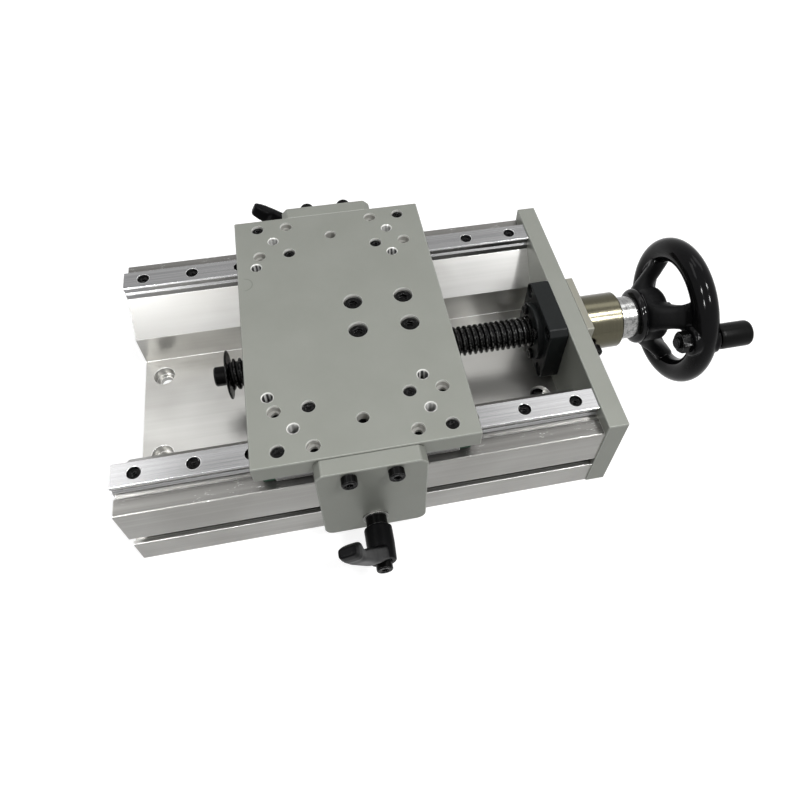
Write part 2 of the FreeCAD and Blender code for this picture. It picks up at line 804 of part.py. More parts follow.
def slot_nut(label, turned):
    """A T-shaped nut that slides in the base's slot and can't turn there."""
    body = new_body(label)
    half = s.slot_nut_length / 2
    wing = (s.slot_room - s.slot_nut_play) / 2 - s.running_fit
    neck = (s.slot_opening - s.slot_nut_play) / 2
    shelf = base_side - s.slot_lip - s.slot_nut_lip_gap
    sketch = sketch_on(body, "YZ_Plane")
    back = shelf - s.slot_nut_thickness
    corner = s.slot_corner
    outline(sketch, [
        (-back, slot_centre - wing + corner), (-back, slot_centre + wing - corner),
        (-back - corner, slot_centre + wing), (-shelf, slot_centre + wing), (-shelf, slot_centre + neck),
        (-base_side, slot_centre + neck), (-base_side, slot_centre - neck), (-shelf, slot_centre - neck),
        (-shelf, slot_centre - wing), (-back - corner, slot_centre - wing)])
    pad(body, sketch, half * 2, midplane=True)
    drill(body, "XZ_Plane", base_side, [(0, slot_centre)], s.m6_width / 2 + s.running_fit,
          base_side - back)
    body.Placement = FreeCAD.Placement(Vector(0, 0, 0), turned)


def lever_parts(side, towards, arm_turn):
    """Stud, washer, spring, screw and arm of one clamp lever, outwards along local Z."""
    outward = 1 if towards is TOWARDS_REAR else -1
    spot = (0, outward * lock_face, slot_centre)
    neck_start = s.lever_washer_thickness
    hub_start = neck_start + s.stud_neck_length
    hub_end = hub_start + s.hub_length
    web_start = hub_start + s.hub_web_height
    web_end = web_start + s.hub_web_thickness

    washer = new_body("lever_washer_" + side)
    revolve(washer, [(cleared(s.m6_width), 0), (s.lever_washer_width / 2, 0),
                     (s.lever_washer_width / 2, neck_start), (cleared(s.m6_width), neck_start)])
    place(washer, *spot, towards)

    stud = new_body("lever_stud_" + side)
    stud_start = base_side - s.slot_lip - s.slot_nut_lip_gap - s.slot_nut_thickness - lock_face
    spline_end = hub_start + s.stud_spline_length
    revolve(stud, [(0, stud_start), (s.m6_width / 2, stud_start), (s.m6_width / 2, neck_start),
                   (s.stud_neck_width / 2, neck_start), (s.stud_neck_width / 2, hub_start),
                   (s.stud_spline_width / 2, hub_start), (s.stud_spline_width / 2, spline_end),
                   (0, spline_end)])
    drill(stud, "XY_Plane", spline_end, [(0, 0)], tapped(s.m4_width),
          s.lever_screw_length - (hub_end - spline_end) + s.tap_spare)
    place(stud, *spot, towards)

    screw = cap_screw("lever_screw_" + side, s.m4_width, s.lever_screw_head_width, s.lever_screw_length)
    place(screw, 0, outward * (lock_face + hub_end), slot_centre, towards)

    spring = new_body("lever_spring_" + side)
    outside = s.spring_width / 2
    inside = outside - s.spring_wire
    revolve(spring, [(inside, web_end), (outside, web_end), (outside, hub_end), (inside, hub_end)])
    place(spring, *spot, towards)

    handle = new_body("lever_handle_" + side)
    revolve(handle, [(0, hub_start), (s.hub_width / 2, hub_start), (s.hub_top_width / 2, hub_end, s.trim),
                     (0, hub_end)])
    sections = []
    for reach, height, half_width, half_thickness in (
            (0, s.hub_length * 0.74, s.hub_width * 0.35, s.hub_length * 0.255),
            (s.lever_reach * 0.4, s.hub_length * 1.13, s.hub_width * 0.3, s.hub_length * 0.235),
            (s.lever_reach * 0.75, s.hub_length * 1.4, s.hub_width * 0.32, s.hub_length * 0.24),
            (s.lever_reach, s.hub_length * 1.56, s.hub_width * 0.3, s.hub_length * 0.18)):
        section = sketch_on(handle, "YZ_Plane", reach)
        ellipse(section, 0, hub_start + height, half_width, half_thickness)
        sections.append(section)
    loft(handle, sections)
    drill(handle, "XY_Plane", hub_start, [(0, 0)], s.stud_spline_width / 2 + s.fit,
          s.hub_web_height, reverse=True)
    drill(handle, "XY_Plane", hub_start, [(0, 0)], s.m4_width / 2 + s.screw_hole_gap,
          s.hub_length, reverse=True)
    drill(handle, "XY_Plane", hub_end + s.hub_length, [(0, 0)], s.hub_bore_width / 2,
          hub_end + s.hub_length - web_end)
    place(handle, *spot, towards.multiply(Rotation(Vector(0, 0, 1), arm_turn.number)))


def lead_screw():
    """The screw with its thread as a plain cylinder, its shoulder and its journal."""
    body = new_body("lead_screw")
    start = screw_start
    end = wheel_end - s.trim
    revolve(body, [(0, start), (s.screw_width / 2 - s.trim, start), (s.screw_width / 2, start + s.trim),
                   (s.screw_width / 2, retainer_face + s.bearing_shoulder),
                   (s.screw_shoulder_width / 2, retainer_face + s.bearing_shoulder),
                   (s.screw_shoulder_width / 2, bearing_1), (journal, bearing_1), (journal, end - s.trim),
                   (journal - s.trim, end), (0, end)])
    drill(body, "XY_Plane", start, [(0, 0)], tapped(s.m6_width), s.stop_screw_length, reverse=True)
    drill(body, "XY_Plane", end, [(0, 0)], tapped(s.m6_width), s.wheel_screw_length)
    sketch = sketch_on(body, "XY_Plane", wheel_start + s.bush_seat)
    half = s.key_width / 2
    rectangle(sketch, key_root, journal + s.key_width, -half, half)
    pocket(body, sketch, s.key_length, reverse=True)
    place(body, 0, 0, s.axis_height, shaft_turn)


def turned_ring(label, x, inner, outer, length, edge=None):
    """A ring about the screw's axis that starts at x."""
    body = new_body(label)
    corners = [(inner, 0), (outer, 0), (outer, length), (inner, length)]
    if edge is not None:
        corners = [(inner, 0), (outer, 0), (outer, length - edge), (outer - edge, length), (inner, length)]
    revolve(body, corners)
    place(body, x, 0, s.axis_height, TOWARDS_RIGHT)
    return body


def stop_washer():
    """A dished washer that stops the nut at the screw's free end."""
    body = new_body("stop_washer")
    rim = s.stop_washer_width / 2
    revolve(body, [(tapped(s.m6_width), -s.stop_washer_thickness), (rim - s.trim, -s.stop_washer_thickness),
                   (rim, -s.stop_washer_thickness + s.trim), (rim, 0), (tapped(s.m6_width), 0)])
    place(body, screw_start, 0, s.axis_height, TOWARDS_RIGHT)


def bearing_rings(label, inner, outer):
    """The same ring of both bearings."""
    body = new_body(label)
    for start in (bearing_1, bearing_2):
        revolve(body, [(inner, start), (outer, start), (outer, start + s.bearing_thickness),
                       (inner, start + s.bearing_thickness)])
    place(body, 0, 0, s.axis_height, TOWARDS_RIGHT)


def shaft_spacers():
    """One ring between the bearings and one between the outer bearing and the collar."""
    body = new_body("shaft_spacers")
    inner = journal + s.fit
    outer = s.spacer_width / 2
    between = (bearing_1 + s.bearing_thickness, bearing_2)
    outside = (bearing_2 + s.bearing_thickness, pad_face)
    for start, end in (between, outside):
        revolve(body, [(inner, start), (outer, start), (outer, end), (inner, end)])
    place(body, 0, 0, s.axis_height, TOWARDS_RIGHT)


def bearing_housing():
    body = new_body("bearing_housing")
    half = s.housing_width / 2
    cut = s.housing_corner
    low, high = s.axis_height - half, s.axis_height + half
    sketch = sketch_on(body, "YZ_Plane", housing_face)
    outline(sketch, [(-half + cut, low), (half - cut, low), (half, low + cut), (half, high - cut),
                     (half - cut, high), (-half + cut, high), (-half, high - cut), (-half, low + cut)])
    pad(body, sketch, s.housing_thickness)
    break_edges(body, s.edge_break)
    centre = [(0, s.axis_height)]
    drill(body, "YZ_Plane", housing_face, centre, bearing_rim,
          s.bearing_thickness + s.bearing_shoulder, reverse=True)
    drill(body, "YZ_Plane", housing_face, centre, shoulder_bore, s.housing_thickness, reverse=True)
    drill(body, "YZ_Plane", housing_face, housing_spots, s.m4_bore / 2, s.m4_width + s.head_recess,
          reverse=True)
    drill(body, "YZ_Plane", housing_face, housing_spots, cleared(s.m4_width), s.housing_thickness,
          reverse=True)
    drill(body, "YZ_Plane", housing_face, retainer_spots(s.axis_height), tapped(s.m3_width),
          s.retainer_screw_length - s.retainer_thickness + s.m3_width / 2 + s.tap_spare, reverse=True)


def retainer_spots(centre):
    reach = retainer_screw_radius / math.sqrt(2)
    return [(y * reach, centre + z * reach) for y in (-1, 1) for z in (-1, 1)]


def bearing_retainer():
    body = new_body("bearing_retainer")
    thick = s.retainer_thickness
    inner = outer_ring_bore + s.running_fit
    outer = bearing_rim - s.fit
    rim = retainer_screw_radius + s.retainer_margin
    bore = s.screw_width / 2 + s.shaft_gap
    revolve(body, [(bore, 0), (rim - s.trim, 0), (rim, s.trim), (rim, thick), (outer, thick),
                   (outer, thick + s.bearing_shoulder), (inner, thick + s.bearing_shoulder),
                   (inner, thick), (bore, thick)])
    corners = [(y, z) for y, z in retainer_spots(0)]
    drill(body, "XY_Plane", 0, corners, s.m3_bore / 2, s.m3_width / 2, reverse=True)
    drill(body, "XY_Plane", 0, corners, cleared(s.m3_width), thick, reverse=True)
    place(body, retainer_face, 0, s.axis_height, TOWARDS_RIGHT)


def thrust_pad():
    """The square plate outside, clamped by the housing's long screws."""
    body = new_body("thrust_pad")
    half = housing_reach + s.pad_margin
    sketch = sketch_on(body, "YZ_Plane", end_plate_face)
    rectangle(sketch, -half, half, s.axis_height - half, s.axis_height + half)
    pad(body, sketch, s.pad_thickness)
    break_edges(body, s.edge_break)
    sketch = sketch_on(body, "YZ_Plane", end_plate_face)
    circle(sketch, 0, s.axis_height, bearing_rim - s.fit)
    pad(body, sketch, s.bearing_shoulder, reverse=True)
    recess = outer_ring_bore + s.running_fit
    centre = [(0, s.axis_height)]
    drill(body, "YZ_Plane", end_plate_face - s.bearing_shoulder, centre, recess, s.bearing_shoulder,
          reverse=True)
    drill(body, "YZ_Plane", pad_face, centre, s.spacer_width / 2 + s.shaft_gap,
          s.pad_thickness + s.bearing_shoulder)
    drill(body, "YZ_Plane", pad_face, housing_spots, tapped(s.m4_width), s.pad_thickness)


def shaft_collar():
    body = turned_ring("shaft_collar", pad_face, journal + s.fit, s.collar_width / 2, s.collar_length,
                       s.collar_edge)
    sketch = sketch_on(body, "XZ_Plane", s.collar_width)
    circle(sketch, 0, s.clamp_screw_inset, tapped(s.m4_width))
    pocket(body, sketch, s.collar_width)
    return body


def handwheel():
    """Turned hub and rim, three dished spokes and the boss for the handle. Local Z is the axis."""
    body = new_body("handwheel")
    hub = s.wheel_hub_width / 2
    bore = journal + s.fit
    revolve(body, [(bore, 0), (hub, 0, s.wheel_hub_round), (hub, s.wheel_hub_length, s.trim * 2),
                   (bore, s.wheel_hub_length)])
    sketch = sketch_on(body, "XZ_Plane")
    circle(sketch, s.rim_radius, s.rim_offset, s.rim_thickness / 2)
    rim = body.newObject("PartDesign::Revolution", "rim")
    rim.Profile = sketch
    rim.ReferenceAxis = (origin_feature(body, "Z_Axis"), [""])
    rim.Angle = 360
    half = s.spoke_width / 2
    flare = s.spoke_rim_width / 2
    thin = s.spoke_thickness / 2
    inside = s.rim_radius - s.rim_thickness / 2
    rise = s.rim_offset - s.spoke_root
    sections = []
    for reach, height, half_width in (
            (hub * 0.6, s.spoke_root - rise * 0.04, half), (hub * 1.05, s.spoke_root + rise * 0.05, half),
            ((hub + inside) / 2, s.spoke_root + rise * 0.36, half),
            (inside, s.spoke_root + rise * 0.78, (half + flare) / 2), (s.rim_radius, s.rim_offset, flare)):
        section = sketch_on(body, "YZ_Plane", reach)
        ellipse(section, 0, height, half_width, thin)
        sections.append(section)
    spoke = loft(body, sections)
    repeat_around(body, [spoke], s.spoke_count)
    turn = s.handle_angle - s.spoke_angle
    boss_spot = (handle_radius * cosine(turn), handle_radius * sine(turn))
    sketch = sketch_on(body, "XY_Plane", boss_start)
    circle(sketch, *boss_spot, s.handle_boss_width / 2)
    pad(body, sketch, boss_length)
    drill(body, "XY_Plane", boss_start + boss_length, [boss_spot],
          s.m6_width / 2 + s.fit, boss_length)
    drill(body, "XY_Plane", 0, [(0, 0)], s.bush_width / 2 + s.fit, s.bush_seat, reverse=True)
    sketch = sketch_on(body, "XY_Plane", s.wheel_hub_length)
    key = s.key_width / 2
    rectangle(sketch, 0, key_root + s.key_width + s.running_fit, -key, key)
    pocket(body, sketch, s.wheel_hub_length - s.bush_seat)
    place(body, wheel_start, 0, s.axis_height, shaft_turn)


def wheel_key():
    """The key that stops the wheel from turning on the shaft."""
    key = new_body("wheel_key")
    sketch = sketch_on(key, "XY_Plane")
    half = s.key_width / 2 - s.fit
    rectangle(sketch, key_root, key_root + s.key_width, -half, half)
    pad(key, sketch, s.key_length)
    place(key, wheel_start + s.bush_seat, 0, s.axis_height, shaft_turn)


def handle_parts():
    """The crank handle's spindle, its nut and the grip that turns on it."""
    x = wheel_start + boss_start
    y = handle_radius * cosine(s.handle_angle)
    z = s.axis_height + handle_radius * sine(s.handle_angle)
    boss_end = boss_length
    grip_start = boss_end + s.handle_flange_thickness + s.screw_hole_gap
    grip_end = grip_start + s.grip_length
    head_end = grip_end - s.grip_head_recess
    head_start = head_end - s.grip_head_length
    pin = s.grip_pin_width / 2
    thread = s.m6_width / 2
    tail = -s.handle_nut_thickness - s.handle_thread_end

    spindle = new_body("handle_spindle")
    revolve(spindle, [(0, tail), (thread, tail), (thread, boss_end), (s.handle_flange_width / 2, boss_end),
                      (s.handle_flange_width / 2, boss_end + s.handle_flange_thickness),
                      (pin, boss_end + s.handle_flange_thickness), (pin, head_start),
                      (s.grip_head_width / 2, head_start), (s.grip_head_width / 2, head_end), (0, head_end)])
    place(spindle, x, y, z, TOWARDS_RIGHT)

    nut = new_body("handle_nut")
    sketch = sketch_on(nut, "XY_Plane", -s.handle_nut_thickness)
    reach = s.handle_nut_flats / 2 / math.cos(math.pi / 6)
    sixth = math.pi / 3
    outline(sketch, [(reach * math.cos(sixth * i), reach * math.sin(sixth * i)) for i in range(6)])
    circle(sketch, 0, 0, thread + s.fit)
    pad(nut, sketch, s.handle_nut_thickness)
    place(nut, x, y, z, TOWARDS_RIGHT)

    grip = new_body("handle_grip")
    bore = pin + s.running_fit
    seat = s.grip_head_width / 2 + s.screw_hole_gap
    rim = s.grip_width / 2
    floor = head_start - s.screw_hole_gap
    revolve(grip, [(bore, grip_start), (rim, grip_start, s.trim), (rim, grip_end, s.grip_round / 2),
                   (seat, grip_end), (seat, floor), (bore, floor)])
    place(grip, x, y, z, TOWARDS_RIGHT)


def fasteners():
    """Every group of screws, each with the underside of its heads on its counterbore."""
    rail_screw = cap_screw("rail_screw_master", s.m3_width, s.m3_head, s.rail_screw_length)
    under_rail_head = rail_top - s.rail_counterbore_depth
    for side, name in ((-1, "front"), (1, "rear")):
        places = [(first_rail_hole + i * s.rail_hole_pitch, side * rail_y, under_rail_head)
                  for i in range(int(rail_hole_count.number))]
        fasten("rail_screws_" + name, rail_screw, places, TOWARDS_UP)

    table_screw = cap_screw("table_screw_master", s.m3_width, s.m3_head, s.table_screw_length)
    filled, _ = carriage_screw_spots()
    under = table_top - s.m3_width - s.head_recess
    fasten("carriage_screws", table_screw, [(x, y, under) for x, y in filled], TOWARDS_UP)

    bracket_screw = cap_screw("bracket_screw_master", s.m5_width, s.m5_head,
                              s.bracket_screw_length)
    under = table_top - s.m5_width - s.head_recess
    fasten("nut_bracket_screws", bracket_screw, [(x, y, under) for x, y in bracket_screw_spots], TOWARDS_UP)

    nut_screw = cap_screw("nut_screw_master", s.m4_width, s.m4_head, s.nut_screw_length)
    flange_face = s.bracket_offset - s.nut_flange_thickness
    nut_spots = [(flange_face, y, z) for y, z in nut_screw_spots(s.axis_height)]
    fasten("lead_nut_screws", nut_screw, nut_spots, TOWARDS_LEFT)

    lock_screw = cap_screw("lock_screw_master", s.m4_width, s.m4_head, s.lock_screw_length)
    for side, name, towards in ((-1, "front", TOWARDS_FRONT), (1, "rear", TOWARDS_REAR)):
        fasten("lock_bracket_screws_" + name, lock_screw,
               [(x, side * lock_face, lock_screw_z) for x in lock_screw_spots], towards)

    end_screw = cap_screw("end_screw_master", s.m5_width, s.m5_head, s.end_screw_length)
    under = end_plate_face - s.m5_width - s.head_recess
    fasten("end_plate_screws", end_screw, [(under, y, z) for y, z in end_screw_spots], TOWARDS_RIGHT)

    housing_screw = cap_screw("housing_screw_master", s.m4_width, s.m4_head,
                              s.housing_screw_length)
    under = housing_face + s.m4_width + s.head_recess
    fasten("housing_screws", housing_screw, [(under, y, z) for y, z in housing_spots], TOWARDS_LEFT)

    retainer_screw = cap_screw("retainer_screw_master", s.m3_width, s.m3_head,
                               s.retainer_screw_length)
    under = retainer_face + s.m3_width / 2
    fasten("retainer_screws", retainer_screw, [(under, y, z) for y, z in retainer_spots(s.axis_height)],
           TOWARDS_LEFT)

    clamp = cap_screw("collar_screw", s.m4_width, s.m4_head, s.clamp_screw_length)
    place(clamp, pad_face + s.clamp_screw_inset, -(s.clamp_screw_head_radius - s.m4_width), s.axis_height,
          TOWARDS_FRONT)
    stop = cap_screw("stop_screw", s.m6_width, s.m6_head, s.stop_screw_length)
    place(stop, screw_start - s.stop_washer_thickness, 0, s.axis_height, TOWARDS_LEFT)
    wheel = cap_screw("wheel_screw", s.m6_width, s.m6_head, s.wheel_screw_length)
    place(wheel, wheel_end + s.wheel_washer_thickness, 0, s.axis_height, TOWARDS_RIGHT)


base_profile()
end_plate()
rail("rail_front", -1)
rail("rail_rear", 1)
for (x, y), corner in zip(carriage_spots, ("front_left", "rear_left", "front_right", "rear_right")):
    carriage("carriage_" + corner, x, y)
    carriage_caps("carriage_caps_" + corner, x, y)
table_plate()
nut_bracket()
lead_nut()
HALF_TURN = Rotation(Vector(0, 0, 1), 180)
for side, turned in (("front", Rotation()), ("rear", HALF_TURN)):
    lock_bracket("lock_bracket_" + side, turned)
    slot_nut("slot_nut_" + side, turned)
lever_parts("front", TOWARDS_FRONT, s.lever_front_angle)
lever_parts("rear", TOWARDS_REAR, -s.lever_rear_angle)
lead_screw()
stop_washer()
bearing_rings("bearing_outer_rings", outer_ring_bore, bearing_rim - s.fit)
bearing_rings("bearing_inner_rings", journal + s.fit, journal + s.bearing_inner_ring)
shaft_spacers()
bearing_housing()
bearing_retainer()
thrust_pad()
shaft_collar()
turned_ring("handwheel_bush", collar_end, journal + s.fit, s.bush_width / 2, s.bush_length)
handwheel()
wheel_key()
turned_ring("wheel_washer", wheel_end, tapped(s.m6_width), s.wheel_washer_width / 2,
            s.wheel_washer_thickness, s.trim)
handle_parts()
fasteners()
doc.recompute()

# Nothing is written unless every object is sound
for thing in doc.Objects:
    if "Invalid" in thing.State or "Error" in thing.State:
        raise RuntimeError("%s is %s" % (thing.Label, thing.State))
    if thing.TypeId in ("PartDesign::Pocket", "PartDesign::Groove"):
        if thing.BaseFeature.Shape.Volume - thing.Shape.Volume < 1e-6:
            raise RuntimeError("%s cuts nothing" % thing.Label)

linked = {thing.LinkedObject.Name for thing in doc.Objects if thing.TypeId == "App::Link"}
SUB_PART_TYPES = ("PartDesign::Body", "Part::Compound")
sub_parts = [thing for thing in doc.Objects if thing.TypeId in SUB_PART_TYPES and thing.Name not in linked]
for thing in sub_parts:
    if thing.Shape.isNull() or not thing.Shape.isValid():
        raise RuntimeError("%s has no valid shape" % thing.Label)
for thing in sub_parts:
    thing.Shape.exportStep("parts/%s.step" % thing.Label)
print("%d sub-parts, %d solids" % (len(sub_parts), sum(len(thing.Shape.Solids) for thing in sub_parts)))
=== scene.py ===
# %% [markdown]
# # A manual linear stage
# A table runs on two guide rails over an extruded base. A lead screw with a handwheel moves it, and a
# lever on each long side clamps it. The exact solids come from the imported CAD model. This script adds
# what shows how each piece is made: threads, hex sockets, moulded forms, springs and finishes.

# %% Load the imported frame
import json
import math

import bmesh
import bpy
import numpy as np
from mathutils import Euler, Matrix, Vector


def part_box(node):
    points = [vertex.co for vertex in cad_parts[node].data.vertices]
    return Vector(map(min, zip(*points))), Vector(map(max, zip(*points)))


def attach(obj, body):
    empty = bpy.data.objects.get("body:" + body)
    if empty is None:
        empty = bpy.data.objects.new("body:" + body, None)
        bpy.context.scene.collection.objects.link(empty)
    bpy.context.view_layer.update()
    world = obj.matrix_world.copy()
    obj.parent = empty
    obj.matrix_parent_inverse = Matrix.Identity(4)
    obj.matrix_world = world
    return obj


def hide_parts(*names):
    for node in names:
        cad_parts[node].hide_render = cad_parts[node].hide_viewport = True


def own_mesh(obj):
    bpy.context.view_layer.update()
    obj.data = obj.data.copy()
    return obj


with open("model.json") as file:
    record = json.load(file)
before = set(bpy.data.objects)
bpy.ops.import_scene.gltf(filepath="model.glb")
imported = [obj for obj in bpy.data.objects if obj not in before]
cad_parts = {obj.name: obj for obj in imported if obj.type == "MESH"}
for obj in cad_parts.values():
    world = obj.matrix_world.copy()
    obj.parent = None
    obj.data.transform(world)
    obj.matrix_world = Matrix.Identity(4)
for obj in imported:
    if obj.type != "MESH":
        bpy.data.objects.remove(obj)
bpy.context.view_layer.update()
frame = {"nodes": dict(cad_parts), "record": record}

MM = 0.001

# %% [markdown]
# ## The camera
# The camera comes first, because everything else is seen through it. Its place, angles and focal
# length were worked out from the table's corners and the rails' evenly spaced holes. The small shift
# puts the lens's centre where it falls in the photograph's frame.

# %% Place the camera


def linked(name, data):
    """An object for a mesh, a lamp or a camera, linked to the scene."""
    made = bpy.data.objects.new(name, data)
    bpy.context.scene.collection.objects.link(made)
    return made


camera_data = bpy.data.cameras.new("camera")
camera_data.sensor_width = 36.0
camera_data.lens = 30.97
camera_data.shift_x = -0.0307
camera_data.shift_y = -0.0410
camera_data.clip_start = 0.01
camera_data.clip_end = 50.0
camera = linked("camera", camera_data)
camera.location = (-0.01193, -0.21760, 0.31869)
camera.rotation_euler = Euler([math.radians(turn) for turn in (36.3702, -1.4167, -11.5798)])
bpy.context.scene.camera = camera
print("camera at", tuple(camera.location))

# %% [markdown]
# ## Forms as points and faces
# Most pieces of a machine are turned, extruded or threaded, so a few small helpers make them all. A
# form is an array of points in millimetres and a list of faces. Rings of points joined by faces give
# turned pieces, and a ring may have a radius of its own for each point, as a hexagon or a knurl has.

# %% Rings joined into turned forms
AROUND = 48


def ring_angles(around):
    return np.arange(around) * 2 * math.pi / around


def turned(rings, around=AROUND, closed=False):
    """A lathe form about local Z from (radius, height) pairs. A radius of zero is a point on the axis."""
    angle = ring_angles(around)
    points, faces, rows = [], [], []
    for radius, height in rings:
        start = len(points)
        if np.isscalar(radius) and radius == 0:
            points.append((0.0, 0.0, height))
            rows.append([start] * around)
            continue
        reach = np.broadcast_to(radius, around)
        points.extend(zip(reach * np.cos(angle), reach * np.sin(angle), np.full(around, float(height))))
        rows.append(list(range(start, start + around)))
    pairs = list(zip(rows, rows[1:])) + ([(rows[-1], rows[0])] if closed else [])
    for low, high in pairs:
        for i in range(around):
            j = (i + 1) % around
            faces.append(tuple(dict.fromkeys((low[i], low[j], high[j], high[i]))))
    return np.array(points, float), faces


def hexagon(across, around=AROUND):
    """Radii of a hexagon with that width across its flats."""
    sixth = math.pi / 3
    return across / 2 / np.cos((ring_angles(around) + sixth / 2) % sixth - sixth / 2)


def toothed(outer, depth, around=AROUND):
    """Radii that step in and out at every other point, as on a knurl or a spline."""
    return outer - depth * (np.arange(around) % 2)


print("hexagon corner radius for 4 mm flats:", round(float(hexagon(4.0).max()), 3))

# %% Extruded, joined and placed forms


def extruded(corners, low, high):
    """A closed outline in local X and Y, drawn out along local Z."""
    count = len(corners)
    points = [(x, y, z) for z in (low, high) for x, y in corners]
    faces = [tuple(range(count)), tuple(range(count, 2 * count))]
    faces += [(i, (i + 1) % count, (i + 1) % count + count, i + count) for i in range(count)]
    return np.array(points, float), faces


def skinned(sections):
    """A skin over rings of points that all have the same count, closed at both ends."""
    around = len(sections[0])
    points = np.concatenate(sections)
    faces = [tuple(range(around)), tuple(range(len(points) - around, len(points)))]
    for row in range(len(sections) - 1):
        for i in range(around):
            j = (i + 1) % around
            faces.append((row * around + i, row * around + j, (row + 1) * around + j, (row + 1) * around + i))
    return points, faces


def joined(*forms):
    points, faces, shift = [], [], 0
    for form_points, form_faces in forms:
        points.append(form_points)
        faces += [tuple(i + shift for i in face) for face in form_faces]
        shift += len(form_points)
    return np.concatenate(points), faces


def shifted(form, x, y, z):
    return form[0] + np.array((x, y, z)), form[1]


def placed(form, origin, towards, spin=0.0):
    """Turn local Z towards a direction, after a spin about it in degrees, and move the form."""
    turn = Vector(towards).to_track_quat("Z", "Y").to_matrix() @ Matrix.Rotation(math.radians(spin), 3, "Z")
    return form[0] @ np.array(turn).T + np.array(origin, float), form[1]


def along_screw(form, x):
    """Local Z along the lead screw from x, local X to the rear and local Y up."""
    points = form[0]
    moved = np.column_stack([points[:, 2] + x, points[:, 0], points[:, 1] + AXIS_Z])
    return moved, form[1]


collar_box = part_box("shaft_collar")
AXIS_Z = (collar_box[0].z + collar_box[1].z) / 2 / MM
print("lead screw axis height:", round(AXIS_Z, 3), "mm")

# %% Turn a form into an object
SEAM_MERGE = 0.002


def shaped(name, form, merge=False):
    """An object made from a form, with outward faces and, if asked, merged seams."""
    points, faces = form
    mesh = bpy.data.meshes.new(name)
    mesh.from_pydata((points * MM).tolist(), [], faces)
    work = bmesh.new()
    work.from_mesh(mesh)
    if merge:
        bmesh.ops.remove_doubles(work, verts=work.verts, dist=SEAM_MERGE * MM)
        bmesh.ops.dissolve_degenerate(work, edges=work.edges, dist=SEAM_MERGE * MM)
    bmesh.ops.recalc_face_normals(work, faces=work.faces)
    work.to_mesh(mesh)
    work.free()
    return linked(name, mesh)


print("points closer than", SEAM_MERGE, "mm are merged")

# %% Turn a form into a named piece that rides on a body


def piece(name, form, body, finish, replaces=(), crease=35.0):
    """A finished piece from a form, smooth but for edges sharper than the crease angle."""
    made = shaped(name, form, merge=True)
    made.data.shade_smooth()
    made.data.set_sharp_from_angle(angle=math.radians(crease))
    dress(made, body, finish, replaces)
    return made


def dress(made, body, finish, replaces=()):
    """Give a piece its material and body, and hide the CAD nodes it stands for."""
    made.data.materials.clear()
    made.data.materials.append(finish)
    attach(made, body)
    if replaces:
        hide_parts(*replaces)


print("helpers for pieces ready")
